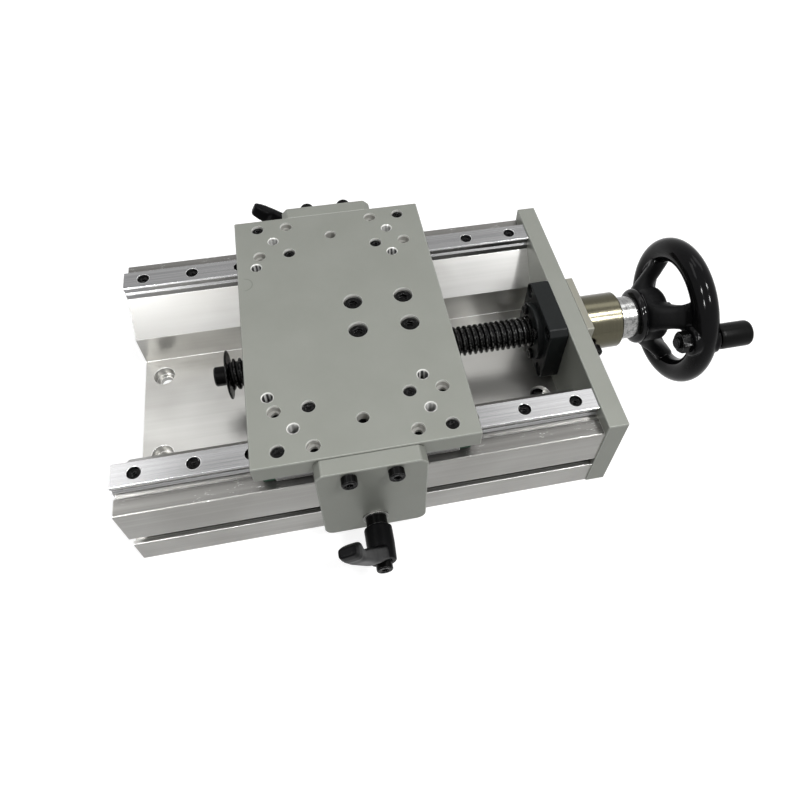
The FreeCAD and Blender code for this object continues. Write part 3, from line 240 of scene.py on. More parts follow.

# %% [markdown]
# ## Finishes from nodes
# Every finish is a procedural material: noise stretched along the grain for drawn and ground metal,
# fine noise for blasted plates, rings about an axis for turned pieces. A Bevel node rounds the sharp
# CAD edges in the shading and finds the edges where the rounded and the flat normal differ. Most
# finishes paint these edges lighter as a painted highlight; on black screws it is partly rubbed wear.

# %% A small kit for shader nodes


class Finish:
    """A material whose nodes are added by short calls."""

    def __init__(self, name, colour, metallic, roughness, specular=0.5):
        self.material = bpy.data.materials.new(name)
        self.material.use_nodes = True
        self.tree = self.material.node_tree
        self.shader = self.tree.nodes["Principled BSDF"]
        self.feed("Base Color", colour)
        self.feed("Metallic", metallic)
        self.feed("Roughness", roughness)
        self.feed("Specular IOR Level", specular)

    def fill(self, socket, value):
        """Set a socket to a number or a colour, or link a node's output to it."""
        if isinstance(value, (int, float)):
            socket.default_value = value
        elif isinstance(value, (tuple, list)):
            socket.default_value = (*value, 1.0)
        else:
            self.tree.links.new(value, socket)

    def feed(self, name, value):
        """Fill a socket of the material's shader."""
        self.fill(self.shader.inputs[name], value)

    def node(self, kind, inputs=(), **settings):
        """A node with its settings, and its inputs filled by name or number."""
        made = self.tree.nodes.new(kind)
        for name, value in settings.items():
            setattr(made, name, value)
        for name, value in dict(inputs).items():
            self.fill(made.inputs[name], value)
        return made

    def noise(self, scale, stretch=(1.0, 1.0, 1.0), detail=2.0, roughness=0.5):
        """Noise in object coordinates, with a stretch along each axis."""
        place = self.node("ShaderNodeMapping", {"Vector": self.node("ShaderNodeTexCoord").outputs["Object"]})
        place.inputs["Scale"].default_value = stretch
        inputs = {"Vector": place.outputs[0], "Scale": scale, "Detail": detail, "Roughness": roughness}
        return self.node("ShaderNodeTexNoise", inputs).outputs[0]

    def remap(self, source, low, high, to_low, to_high, kind="LINEAR"):
        inputs = enumerate((source, low, high, to_low, to_high))
        return self.node("ShaderNodeMapRange", inputs, interpolation_type=kind).outputs[0]

    def tint(self, factor, first, second):
        """A colour that goes from the first to the second as the factor rises."""
        return self.node("ShaderNodeMix", {0: factor, 6: first, 7: second}, data_type="RGBA").outputs[2]

    def maths(self, operation, first, second=0.0):
        """One operation on sockets or numbers."""
        return self.node("ShaderNodeMath", {0: first, 1: second}, operation=operation).outputs[0]

    def plus(self, first, second):
        return self.maths("ADD", first, second)

    def times(self, *factors):
        """The product of all the factors."""
        product = factors[0]
        for factor in factors[1:]:
            product = self.maths("MULTIPLY", product, factor)
        return product

    def reach(self, first, second):
        """The distance that two steps at a right angle make together."""
        return self.maths("POWER", self.plus(self.times(first, first), self.times(second, second)), 0.5)

    def past(self, source, level, blend):
        """A mask that rises from 0 to 1 over a thin blend as the source passes a level."""
        return self.remap(source, level, level + blend, 0.0, 1.0)

    def relief(self, height, depth, edge=0.0):
        """Bump of that depth in metres, over edges rounded by the edge radius."""
        bump = self.node("ShaderNodeBump", {"Strength": 1.0, "Distance": depth, "Height": height})
        if edge:
            self.fill(bump.inputs["Normal"], self.rounded(edge))
        self.feed("Normal", bump.outputs[0])

    def rounded(self, radius):
        return self.node("ShaderNodeBevel", {"Radius": radius}, samples=6).outputs[0]

    def edges(self, radius, reach=0.12):
        """A mask that is 1 on outer and inner edges and 0 on flats."""
        flat = self.node("ShaderNodeNewGeometry").outputs["Normal"]
        dot = self.node("ShaderNodeVectorMath", {0: self.rounded(radius), 1: flat}, operation="DOT_PRODUCT")
        return self.remap(dot.outputs["Value"], 1.0, 1.0 - reach, 0.0, 1.0)

    def along(self, axis):
        """The place along one axis of the stage, in metres."""
        place = self.node("ShaderNodeTexCoord").outputs["Object"]
        return self.node("ShaderNodeSeparateXYZ", {0: place}).outputs[axis]

    def axial(self):
        """Distance from the lead screw's axis, in metres."""
        return self.reach(self.along("Y"), self.plus(self.along("Z"), -AXIS_Z * MM))


print("node kit ready")

# %% [markdown]
# ### Blasted plates
# The table, end plate and brackets are bead blasted, then anodised: a fine even grain and a faint
# mottle. The thrust pad, which lies further along X, has the same grain in a warmer silver.

# %% Blasted plate
PAD_START = 0.1198
plate = Finish("blasted_plate", (0.24, 0.248, 0.222), 0.36, 0.46, specular=0.3)
grain = plate.noise(2600.0, detail=2.0)
mottle = plate.remap(plate.noise(42.0, detail=4.0), 0.35, 0.65, 0.0, 1.0)
plate_colour = plate.tint(mottle, (0.234, 0.242, 0.216), (0.248, 0.256, 0.23))
on_pad = plate.past(plate.along("X"), PAD_START, 0.0003)
plate_colour = plate.tint(on_pad, plate_colour, (0.25, 0.245, 0.207))
print(plate.material.name)

# %% [markdown]
# ### Marks and bores in the table
# The table's top has a faint half ring, and a painted highlight on its chamfers. Its bore walls are bare
# metal, with painted light near the mouth and black painted shade at the bottom. Masks from the position draw
# all of it, with no unwrapped surface.

# %% The half ring and the painted highlight on the edges
MARK_X, MARK_Y, MARK_RADIUS = -0.0463, 0.0294, 0.004
TABLE_FACE = 0.0659
height = plate.along("Z")
mark_x = plate.plus(plate.along("X"), -MARK_X)
mark_y = plate.plus(plate.along("Y"), -MARK_Y)
off_ring = plate.maths("ABSOLUTE", plate.plus(plate.reach(mark_x, mark_y), -MARK_RADIUS))
ring_mark = plate.times(plate.remap(off_ring, 0.0001, 0.0004, 0.5, 0.0),
                        plate.past(mark_x, -0.0006, 0.0018), plate.past(height, TABLE_FACE, 0.00005))
plate_colour = plate.tint(ring_mark, plate_colour, (0.13, 0.133, 0.12))
# painted highlight: the table's chamfers are painted lighter
plate_colour = plate.tint(plate.edges(0.0006), plate_colour, (0.42, 0.43, 0.4))
print("ring mark at", MARK_X, MARK_Y)

# %% The walls of the bores
BORES_LOW, BORES_HIGH = 0.05605, 0.06592
BORES_X, BORES_Y = 0.0487, 0.0743
inside_x = plate.remap(plate.maths("ABSOLUTE", plate.along("X")), BORES_X, BORES_X + 0.0001, 1.0, 0.0)
inside_y = plate.remap(plate.maths("ABSOLUTE", plate.along("Y")), BORES_Y, BORES_Y + 0.0001, 1.0, 0.0)
below_top = plate.remap(height, BORES_HIGH, BORES_HIGH + 0.00004, 1.0, 0.0)
bore_wall = plate.times(below_top, plate.past(height, BORES_LOW, 0.00005), inside_x, inside_y)
# painted light makes the bore walls bright near the mouth, and painted shade makes them black at the bottom
painted_light_mouth = plate.past(height, 0.0644, 0.0006)
painted_shade_bottom = plate.remap(height, 0.0603, 0.0606, 1.0, 0.0)
bore_tone_and_painted_light = plate.tint(painted_light_mouth, (0.42, 0.415, 0.39), (0.92, 0.915, 0.88))
bore_tone_and_painted_light = plate.tint(painted_shade_bottom, bore_tone_and_painted_light, (0.03, 0.03, 0.03))
plate.feed("Base Color", plate.tint(bore_wall, plate_colour, bore_tone_and_painted_light))
plate.feed("Metallic", plate.remap(bore_wall, 0.0, 1.0, 0.36, 0.06))
plate_sheen = plate.remap(grain, 0.3, 0.7, 0.4, 0.52)
plate.feed("Roughness", plate.times(plate_sheen, plate.remap(bore_wall, 0.0, 1.0, 1.0, 0.5)))
plate.relief(grain, 0.000004, edge=0.0003)
print("bore walls from", BORES_LOW, "to", BORES_HIGH, "m")

# %% [markdown]
# ### Drawn aluminium
# The base is an extrusion, so its streaks run along its length, and soft clouds change its sheen and
# darken its colour in patches of painted reflection. Trough, slopes and outer faces are one aluminium in
# painted light and shade, told apart by the distance from the middle, and the slopes get painted shade
# towards the free end.

# %% Drawn extrusion
TROUGH_SIDE, RAIL_INNER = 0.0365, 0.052
drawn = Finish("extrusion", (0.4, 0.395, 0.38), 0.85, 0.34)
streak = drawn.noise(420.0, stretch=(0.012, 1.0, 1.0), detail=4.0, roughness=0.6)
cloud = drawn.noise(24.0, stretch=(0.8, 1.0, 1.0), detail=2.5, roughness=0.5)
across = drawn.maths("ABSOLUTE", drawn.along("Y"))
streaks = drawn.remap(streak, 0.3, 0.7, 0.0, 1.0)
free_end = drawn.remap(drawn.along("X"), -0.11, -0.03, 1.0, 0.0)
# outside, slopes and trough are copies of one aluminium in painted light and shade; the slopes get painted
# shade towards the free end
outside = drawn.tint(streaks, (0.295, 0.29, 0.277), (0.36, 0.355, 0.34))
slopes = drawn.tint(streaks, (0.385, 0.382, 0.372), (0.43, 0.427, 0.417))
slopes = drawn.tint(free_end, slopes, (0.24, 0.238, 0.23))
trough = drawn.tint(streaks, (0.4, 0.396, 0.38), (0.44, 0.436, 0.42))
inner = drawn.tint(drawn.past(across, TROUGH_SIDE + 0.0001, 0.0001), trough, slopes)
aluminium = drawn.tint(drawn.past(across, RAIL_INNER - 0.0002, 0.0002), inner, outside)
# clouds darken the colour in patches: a painted reflection
cloud_reflection_share = drawn.remap(cloud, 0.36, 0.66, 0.0, 0.45, kind="SMOOTHSTEP")
tone_and_painted_light = drawn.tint(cloud_reflection_share, aluminium, (0.22, 0.215, 0.2))
print(drawn.material.name)

# %% [markdown]
# ### Shoulders and T-slots of the base
# The strips outside the rails are darker, with bright nicks in patches. Every edge gets a painted
# highlight, and the walls deep in the T-slots get painted shade, lifted by painted light towards the free
# end.

# %% Nicked shoulders, painted edge highlights and painted shade in the slots
SHOULDER_SIDE, SHOULDER_LOW = 0.064, 0.0446
SLOT_LOW, SLOT_HIGH, SLOT_DEEP, SLOT_MOUTH = 0.0166, 0.0249, 0.068, 0.0738
level = drawn.along("Z")
on_shoulder = drawn.times(drawn.past(across, SHOULDER_SIDE, 0.0002),
                          drawn.past(level, SHOULDER_LOW, 0.0002))
nicks = drawn.noise(1300.0, stretch=(0.25, 1.0, 1.0), detail=4.0, roughness=0.7)
handled = drawn.noise(45.0, detail=2.0)
wear = drawn.times(drawn.past(nicks, 0.6, 0.08), drawn.past(handled, 0.5, 0.12))
shoulder_tone = drawn.tint(streaks, (0.125, 0.122, 0.115), (0.19, 0.187, 0.178))
tone_and_painted_light = drawn.tint(on_shoulder, tone_and_painted_light, drawn.tint(wear, shoulder_tone, (0.7, 0.7, 0.69)))
# painted highlight: every edge of the base is painted near white
edge_highlighted = drawn.tint(drawn.edges(0.0006), tone_and_painted_light, (0.85, 0.85, 0.84))
in_slot = drawn.times(drawn.past(across, SLOT_DEEP, 0.0001),
                      drawn.remap(across, SLOT_MOUTH, SLOT_MOUTH + 0.0008, 1.0, 0.0),
                      drawn.past(level, SLOT_LOW - 0.0002, 0.0004),
                      drawn.remap(level, SLOT_HIGH - 0.0002, SLOT_HIGH + 0.0002, 1.0, 0.0))
# painted shade deep in the T-slots, with painted light towards the free end
slot_painted_shade = drawn.tint(free_end, (0.16, 0.16, 0.15), (0.5, 0.495, 0.475))
drawn.feed("Base Color", drawn.tint(in_slot, edge_highlighted, slot_painted_shade))
drawn.feed("Roughness", drawn.remap(cloud, 0.34, 0.68, 0.29, 0.38, kind="SMOOTHSTEP"))
drawn.relief(streak, 0.000006, edge=0.0004)
print("slot walls from", SLOT_LOW, "to", SLOT_HIGH, "m")

# %% [markdown]
# ### Ground and turned metal
# Guide rails are ground lengthwise, so their scratches are straight, fine and bright. The collar and
# the bush are turned, so their grooves run round the screw's axis: noise stretched in Y and Z.

# %% Ground rails and carriages
rail_steel = Finish("rail_steel", (0.28, 0.28, 0.285), 0.95, 0.26)
scratch = rail_steel.noise(1500.0, stretch=(0.006, 1.0, 1.0), detail=3.0, roughness=0.7)
scratches = rail_steel.remap(scratch, 0.3, 0.7, 0.0, 1.0)
rail_tone = rail_steel.tint(scratches, (0.22, 0.22, 0.222), (0.32, 0.32, 0.322))
# painted highlight: the rails' edges are painted near white
rail_steel.feed("Base Color", rail_steel.tint(rail_steel.edges(0.0004), rail_tone, (0.9, 0.9, 0.9)))
rail_steel.feed("Roughness", rail_steel.remap(scratch, 0.3, 0.7, 0.19, 0.265))
rail_steel.relief(scratch, 0.000006, edge=0.0003)
print(rail_steel.material.name)

# %% Turned collar, bush and small bright parts


def turned_metal(name, dark, light, roughness, depth, mottle_share=0.0):
    """Metal with fine grooves round the lead screw's axis, spots if it is mottled, and a painted highlight on
    its edges.
    """
    made = Finish(name, light, 1.0, roughness)
    groove = made.noise(2200.0, stretch=(1.0, 0.01, 0.01), detail=3.0, roughness=0.7)
    colour = made.tint(made.remap(groove, 0.3, 0.7, 0.0, 1.0), dark, light)
    if mottle_share:
        spots = made.noise(520.0, detail=5.0, roughness=0.7)
        colour = made.tint(made.remap(spots, 0.45, 0.62, 0.0, mottle_share), colour, (0.11, 0.11, 0.11))
    # painted highlight on the edges, half again as light as the metal
    made.feed("Base Color", made.tint(made.edges(0.0004), colour, [min(1.0, c * 1.5) for c in light]))
    made.feed("Roughness", made.remap(groove, 0.3, 0.7, roughness - 0.06, roughness + 0.04))
    made.relief(groove, depth, edge=0.0003)
    return made.material


collar_brass = turned_metal("collar_brass", (0.082, 0.077, 0.054), (0.1, 0.094, 0.067), 0.22, 0.000002)
bush_steel = turned_metal("bush_steel", (0.27, 0.27, 0.265), (0.36, 0.36, 0.355), 0.22, 0.000004, 0.75)
bright_steel = turned_metal("bearing_steel", (0.6, 0.6, 0.61), (0.74, 0.74, 0.75), 0.22, 0.000004)
nut_bronze = turned_metal("nut_bronze", (0.5, 0.33, 0.15), (0.64, 0.45, 0.22), 0.34, 0.000006)
print("turned metals: 4")

# %% [markdown]
# ### Blackened steel
# The blacks differ by their surface. Screws are oxide black with a dry sheen, and their edges are lighter:
# partly rubbed wear, partly a painted highlight. The lead screw's thread is blackened too, but the nut rubs
# its crests to grey. The housing is satin.

# %% Black oxide, housing and thread
BLACKENED = (0.004, 0.004, 0.004)


def black_metal(name, colour, roughness, wear_and_highlight=None, edge_radius=0.0002, specular=0.12):
    """Blackened steel with a patchy sheen, and edges lightened to the given colour: partly rubbed wear,
    partly a painted highlight.
    """
    made = Finish(name, colour, 0.0, roughness, specular=specular)
    patch = made.noise(260.0, detail=4.0, roughness=0.6)
    fine = made.noise(3800.0, detail=2.0)
    if wear_and_highlight:
        # edges lightened: partly rubbed wear, partly a painted highlight
        made.feed("Base Color", made.tint(made.edges(edge_radius, 0.25), colour, wear_and_highlight))
    made.feed("Roughness", made.remap(patch, 0.3, 0.7, roughness - 0.08, roughness + 0.12))
    made.relief(fine, 0.000003, edge=edge_radius)
    return made


oxide = black_metal("black_screws", (0.003, 0.003, 0.003), 0.16, (0.3, 0.3, 0.3), 0.00022, 0.06)
satin = black_metal("black_housing", (0.007, 0.0085, 0.0085), 0.42, (0.025, 0.025, 0.028), 0.0004)
black_screws, black_housing = oxide.material, satin.material
steel = black_metal("screw_steel", BLACKENED, 0.16)
crest = steel.past(steel.axial(), 0.0076, 0.00035)
rub = steel.past(steel.noise(900.0, detail=3.0), 0.42, 0.18)
crest_colour = steel.tint(steel.times(crest, rub), BLACKENED, (0.05, 0.05, 0.048))
steel.feed("Base Color", crest_colour)
screw_steel = steel.material
print(black_screws.name, black_housing.name, screw_steel.name)

# %% [markdown]
# ### Washers and tapped walls
# The levers' washers are bare steel, with a painted highlight on their edges. A tapped hole's wall gets
# light and dark bars of painted reflection: a cosine along X draws them, clearly in the table's four inner
# holes and faintly in the four outer ones.

# %% Washers and tapped walls
REFLECTION_BAR_STEP, TAP_LIGHT = 0.00194, (0.5, 0.5, 0.485)
# the washer's light edges are a painted highlight
washer_finish = black_metal("washer_steel", (0.16, 0.16, 0.15), 0.34, (0.75, 0.75, 0.72), specular=0.5)
washer_finish.feed("Metallic", 0.7)
washer_steel = washer_finish.material
tapped = black_metal("tapped_wall", TAP_LIGHT, 0.3, specular=0.5)
# painted reflection: light and dark bars across the wall, as a window would show in the thread
reflection_bars = tapped.maths("COSINE", tapped.times(tapped.along("X"), 2 * math.pi / REFLECTION_BAR_STEP))
off_middle = tapped.maths("ABSOLUTE", tapped.along("Y"))
bar_reflection_share = tapped.times(tapped.remap(reflection_bars, -0.1, 0.4, 1.0, 0.0),
                         tapped.remap(off_middle, 0.046, 0.05, 1.0, 0.35))
tapped.feed("Base Color", tapped.tint(bar_reflection_share, TAP_LIGHT, (0.015, 0.015, 0.014)))
tapped_wall = tapped.material
print(washer_steel.name, tapped_wall.name)

# %% [markdown]
# ### Moulded and cast pieces
# Grip, levers and end caps have a fine grain and an uneven gloss. The wheel is polished on its rim
# and grained on its spokes, told apart by the distance from the axis.

# %% Moulded and cast blacks, and the green end caps


def moulded(name, colour, roughness, grain_depth=None, specular=0.1):
    """Plastic or cast metal with a slightly uneven gloss and, if it has a depth, a moulded grain."""
    made = Finish(name, colour, 0.0, roughness, specular=specular)
    broad = made.noise(120.0, detail=3.0)
    made.feed("Base Color", made.tint(broad, [c * 0.8 for c in colour], [c * 1.25 for c in colour]))
    made.feed("Roughness", made.remap(broad, 0.3, 0.7, roughness - 0.04, roughness + 0.06))
    if grain_depth:
        made.relief(made.noise(1400.0, detail=3.0, roughness=0.6), grain_depth)
    return made


grip_black = moulded("grip_black", (0.003, 0.003, 0.003), 0.3, 0.000006, specular=0.07).material
lever_black = moulded("lever_black", (0.004, 0.004, 0.0045), 0.34, 0.00001, specular=0.05).material
cap_plastic = moulded("cap_plastic", (0.028, 0.07, 0.045), 0.42, 0.000006).material
seal_rubber = moulded("seal_rubber", (0.014, 0.016, 0.015), 0.55, 0.000004).material
print("moulded finishes: 4")

# %% The handwheel's finish
RIM_START = 0.0262
WHEEL_COLOUR = (0.004, 0.004, 0.0045)
cast = moulded("wheel_black", WHEEL_COLOUR, 0.1, specular=0.08)
wheel_grain = cast.noise(700.0, detail=4.0, roughness=0.65)
on_rim = cast.past(cast.axial(), RIM_START, 0.0018)
off_rim = cast.remap(on_rim, 0.0, 1.0, 1.0, 0.0)
cast.feed("Roughness", cast.remap(on_rim, 0.0, 1.0, 0.42, 0.1))
cast.relief(cast.times(wheel_grain, off_rim), 0.00005)
wheel_black = cast.material
hub_gloss = moulded("hub_gloss", WHEEL_COLOUR, 0.1, 0.000001, specular=0.16).material
print("wheel finishes:", wheel_black.name, hub_gloss.name)

# %% [markdown]
# ## CAD pieces that stay
# Plates, rails, rings and blocks already have their true shape in the CAD model, with every hole and
# chamfer. They only need their finish, so each node gets the material of its slot.

# %% Give the remaining CAD nodes their finishes
FINISHES = {
    "extrusion": drawn.material, "blasted_plate": plate.material, "rail_steel": rail_steel.material,
    "cap_plastic": cap_plastic, "black_screws": black_screws, "black_housing": black_housing,
    "bearing_steel": bright_steel, "screw_steel": screw_steel, "nut_bronze": nut_bronze,
    "collar_brass": collar_brass, "bush_steel": bush_steel, "wheel_black": wheel_black,
    "grip_black": grip_black, "lever_black": lever_black,
}
slot_of = {row["node"]: row["material_slot"] for row in frame["record"]["subparts"]}
for name, node in frame["nodes"].items():
    node.data.materials.clear()
    node.data.materials.append(washer_steel if name.startswith("lever_washer") else FINISHES[slot_of[name]])
print("finished CAD nodes:", len(slot_of))

# %% [markdown]
# ## Socket head cap screws
# The CAD screws are plain cylinders. A real one has a bevelled head, a knurled side and a hexagonal
# socket with a small countersink. One turned form whose inner rings are hexagons gives all of that,
# and every group of screws on the stage is one piece made of copies of it.

# %% One screw
HEX_FLATS = {3: 2.5, 4: 3.0, 5: 4.0, 6: 5.0}
HEAD_WIDTH = {3: 5.5, 4: 7.0, 5: 8.5, 6: 10.0}


def socket_screw(size, length, head=None, crown=None):
    """A cap screw along local Z, the underside of its head at zero and the crown on top of it."""
    crown = crown or size
    rim = (head or HEAD_WIDTH[size]) / 2
    flats = HEX_FLATS[size]
    socket = hexagon(flats)
    bevel = 0.1 * size
    floor = size * 0.48
    knurl = toothed(rim, 0.035 * size / 3)
    return turned([
        (0, floor - 0.12 * size), (socket, floor), (socket, crown - 0.05 * size),
        (float(socket.max()) + 0.04 * size, crown), (rim - bevel, crown), (knurl, crown - bevel),
        (knurl, 0.06 * size), (rim - 0.06 * size, 0), (size / 2, 0), (size / 2, 0.4 - length),
        (size / 2 - 0.4, -length), (0, -length)])


def screws(name, size, length, spots, towards, body, replaces, head=None, crown=None):
    """A group of equal screws, each with its socket turned another way."""
    one = socket_screw(size, length, head, crown)
    copies = [placed(one, spot, towards, spin=37.0 * i) for i, spot in enumerate(spots)]
    return piece(name, joined(*copies), body, black_screws, [replaces], crease=30.0)


print("socket flats by size:", HEX_FLATS)

# %% Screws in the rails and the brackets
RAIL_Y, BRACKET_FACE = 58.0, 83.0
TABLE_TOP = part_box("table_plate")[1].z / MM
UP, LEFT, RIGHT, FRONT, REAR = (0, 0, 1), (-1, 0, 0), (1, 0, 0), (0, -1, 0), (0, 1, 0)
SIDES = (("front", FRONT), ("rear", REAR))
rail_holes = [-100.0 + 25.0 * i for i in range(9)]
for side, outward in SIDES:
    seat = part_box("rail_screws_" + side)[1].z / MM - 3.0
    screws("rail_cap_screws_" + side, 3, 8.0, [(x, outward[1] * RAIL_Y, seat) for x in rail_holes], UP,
           "base", "rail_screws_" + side)
    face = BRACKET_FACE * outward[1]
    screws("bracket_cap_screws_" + side, 4, 16.0, [(x, face, TABLE_TOP - 5.0) for x in (-10.0, 10.0)],
           outward, "table", "lock_bracket_screws_" + side)
print("screws in each rail:", len(rail_holes))

# %% Screws in the table and its nut
CARRIAGE_X, NUT_REACH = 30.0, 16.5
DIAGONALS = {(-1, 1): -1, (1, 1): 1, (-1, -1): 1, (1, -1): -1}
table_spots = []
for (end, sign), slant in DIAGONALS.items():
    for along in (-1, 1):
        table_spots.append((end * CARRIAGE_X + along * 7.5, sign * RAIL_Y + along * slant * 10.0,
                            TABLE_TOP - 3.8))
screws("table_cap_screws", 3, 10.0, table_spots, UP, "table", "carriage_screws", crown=2.75)
block_spots = [(x, y, TABLE_TOP - 5.8) for x in (5.0, 30.0) for y in (-9.0, 9.0)]
screws("nut_block_cap_screws", 5, 12.0, block_spots, UP, "table", "nut_bracket_screws", crown=4.4)
nut_spots = [(-6.0, y * NUT_REACH, AXIS_Z + z * NUT_REACH) for y, z in ((0, 1), (0, -1), (1, 0), (-1, 0))]
screws("nut_cap_screws", 4, 12.0, nut_spots, LEFT, "table", "lead_nut_screws")
print("table screws:", len(table_spots))

# %% Screws in the end plate and the housing
END_SEAT, HOUSING_SEAT, RING_SEAT = 114.2, 104.8, 98.5
end_spots = [(END_SEAT, y, z) for y in (-70.0, 70.0) for z in (34.5, 7.0)]
end_spots += [(END_SEAT, y, 4.25) for y in (-18.25, 18.25)]
screws("end_cap_screws", 5, 16.0, end_spots, RIGHT, "base", "end_plate_screws")
housing_spots = [(HOUSING_SEAT, y, AXIS_Z + z) for y in (-15.0, 15.0) for z in (-15.0, 15.0)]
screws("housing_cap_screws", 4, 18.0, housing_spots, LEFT, "base", "housing_screws")
ring_reach = 12.0 / math.sqrt(2)
ring_spots = [(RING_SEAT, y * ring_reach, AXIS_Z + z * ring_reach) for y in (-1, 1) for z in (-1, 1)]
screws("retainer_cap_screws", 3, 6.0, ring_spots, LEFT, "base", "retainer_screws")
print("end plate screws:", len(end_spots))

# %% Screws in the collar and in both ends of the shaft
screws("collar_cap_screw", 4, 12.0, [(127.7, -17.3, AXIS_Z)], FRONT, "screw", "collar_screw")
screws("stop_cap_screw", 6, 14.0, [(-62.0, 0.0, AXIS_Z)], LEFT, "screw", "stop_screw")
screws("wheel_cap_screw", 6, 14.0, [(172.7, 0.0, AXIS_Z)], RIGHT, "screw", "wheel_screw")
print("screws on the shaft: 3")

# %% [markdown]
# ## Threads
# A thread is a helical ridge. The mesh's rows follow the helix itself, so each crest and root stays
# crisp with few points: a row that goes once round ends one pitch further on, where the next turn's
# row begins. The lead screw has a 3 mm pitch, and the table's tapped holes a 1 mm pitch.

# %% A thread whose rows follow the helix


def thread(low, high, profile, pitch, end_radius, around=AROUND):
    """Threaded skin about local Z. The profile gives (share of the pitch, radius) for one turn."""
    rows = len(profile)
    turns = int(math.ceil((high - low) / pitch)) + 2
    points = []
    for turn in range(-1, turns):
        for share, radius in profile:
            for j in range(around):
                height = low + (turn + share + j / around) * pitch
                inside = low < height < high
                reach = radius if inside else end_radius
                angle = 2 * math.pi * j / around
                points.append((reach * math.cos(angle), reach * math.sin(angle), min(max(height, low), high)))
    total = len(points) // around
    faces = []
    for i in range(total - 1 - rows):
        for j in range(around):
            near = i * around + j
            far = near + 1 if j < around - 1 else (i + rows) * around
            faces.append((near, far, far + around, near + around))
    return np.array(points), faces


print("helper for threads ready")

# %% The lead screw
screw_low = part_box("lead_screw")[0].x / MM
THREAD_END = 98.0
CREST, ROOT = 8.0, 6.45
crest_profile = [(0.0, ROOT), (0.2, ROOT), (0.36, CREST - 0.25), (0.43, CREST), (0.66, CREST),
                 (0.73, CREST - 0.25), (0.9, ROOT)]
screw_thread = thread(screw_low + 0.6, THREAD_END, crest_profile, 3.0, ROOT, around=40)
front_end = turned([(0, screw_low), (ROOT - 0.5, screw_low), (ROOT, screw_low + 0.6)], around=40)
shoulder = turned([(ROOT, THREAD_END), (6.5, THREAD_END + 0.05), (6.5, 101.0), (5.0, 101.0), (5.0, 170.2),
                   (4.5, 170.7), (0, 170.7)], around=40)
lead = joined(screw_thread, front_end, shoulder)
piece("threaded_screw", along_screw(lead, 0.0), "screw", screw_steel, ["lead_screw"],
      crease=28.0)
print("lead screw points:", len(lead[0]))

# %% Thread ridges in the table's tapped holes
TAP_ROOT, TAP_CREST, TAP_SLEEVE = 2.56, 2.18, 2.6
tap_profile = [(0.0, TAP_ROOT), (0.42, TAP_CREST), (0.58, TAP_CREST)]
tap_low, tap_high = TABLE_TOP - 9.9, TABLE_TOP - 0.45
ridge = thread(tap_low, tap_high, tap_profile, 1.0, TAP_ROOT, around=32)
sleeve = turned([(TAP_ROOT, tap_low), (TAP_SLEEVE, tap_low), (TAP_SLEEVE, tap_high), (TAP_ROOT, tap_high)],
                around=32)
one_tap = joined(ridge, sleeve)
tap_spots = [(x, y) for x in (-30.0, 30.0) for y in (-RAIL_Y, RAIL_Y)]
tap_spots += [(x, y) for x in (-39.7, 30.0) for y in (-40.2, 40.2)]
taps = joined(*[shifted(one_tap, x, y, 0.0) for x, y in tap_spots])
piece("tapped_threads", taps, "table", tapped_wall, crease=20.0)
print("tapped holes:", len(tap_spots))

# %% The dished stop washer on the screw's free end
rim = 12.5
washer = turned([(3.05, -1.5), (8.0, -1.45), (rim - 0.5, -0.95), (rim - 0.1, -0.75), (rim, -0.45),
                 (rim - 0.1, -0.15), (rim - 0.5, 0.0), (8.0, -0.35), (3.05, -0.4)], around=64, closed=True)
piece("dished_washer", along_screw(washer, screw_low), "screw", black_screws, ["stop_washer"])
print("washer radius:", rim)

# %% [markdown]
# ## Moulded forms
# The handwheel and the lever arms are moulded or cast, so their parts flow into each other through
# fillets that no turned form has. Overlapping closed forms are fused by a voxel remesh, which is
# then smoothed. The smoothing makes the fillets. Points that belong to the round rim are moved back
# onto it, so its reflections stay clean.

# %% Fuse overlapping forms into one smooth skin


def baked(made):
    """Apply a piece's modifiers to its mesh."""
    graph = bpy.context.evaluated_depsgraph_get()
    result = bpy.data.meshes.new_from_object(made.evaluated_get(graph))
    made.modifiers.clear()
    made.data = result
    return made


def fused(name, forms, voxel, rounds):
    """One skin over all the forms: a voxel remesh, then smoothing rounds."""
    made = shaped(name, joined(*forms))
    remesh = made.modifiers.new("fuse", "REMESH")
    remesh.mode = "VOXEL"
    remesh.voxel_size = voxel * MM
    soften = made.modifiers.new("soften", "SMOOTH")
    soften.factor = 0.5
    soften.iterations = rounds
    return baked(made)


def bored(made, form):
    """Cut a form out of a piece."""
    bit = shaped(made.name + "_bit", form)
    cut = made.modifiers.new("bore", "BOOLEAN")
    cut.operation = "DIFFERENCE"
    cut.object = bit
    cut.solver = "EXACT"
    baked(made)
    bpy.data.objects.remove(bit)


print("fusing helpers ready")

# %% Spokes and arms as skins over ovals, and the points of a mesh
OVAL_POINTS = 24


def limb(sections, power, turn, lift=0.0):
    """A skin over ovals (reach, height, half width, half thickness). A low power squares them."""
    angle = ring_angles(OVAL_POINTS)
    wide = np.sign(np.cos(angle)) * np.abs(np.cos(angle)) ** power
    tall = np.sign(np.sin(angle)) * np.abs(np.sin(angle)) ** power
    rings = []
    for reach, height, half_width, half_thickness in sections:
        up = tall * half_thickness + lift + height
        rings.append(np.column_stack([np.full(OVAL_POINTS, reach), wide * half_width, up]))
    points, faces = skinned(rings)
    return points @ np.array(Matrix.Rotation(math.radians(turn), 3, "Z")).T, faces


def read_points(made):
    flat = np.zeros(len(made.data.vertices) * 3)
    made.data.vertices.foreach_get("co", flat)
    return flat.reshape(-1, 3) / MM


def write_points(made, points):
    made.data.vertices.foreach_set("co", (points * MM).ravel())
    made.data.update()


print("points in an oval:", OVAL_POINTS)

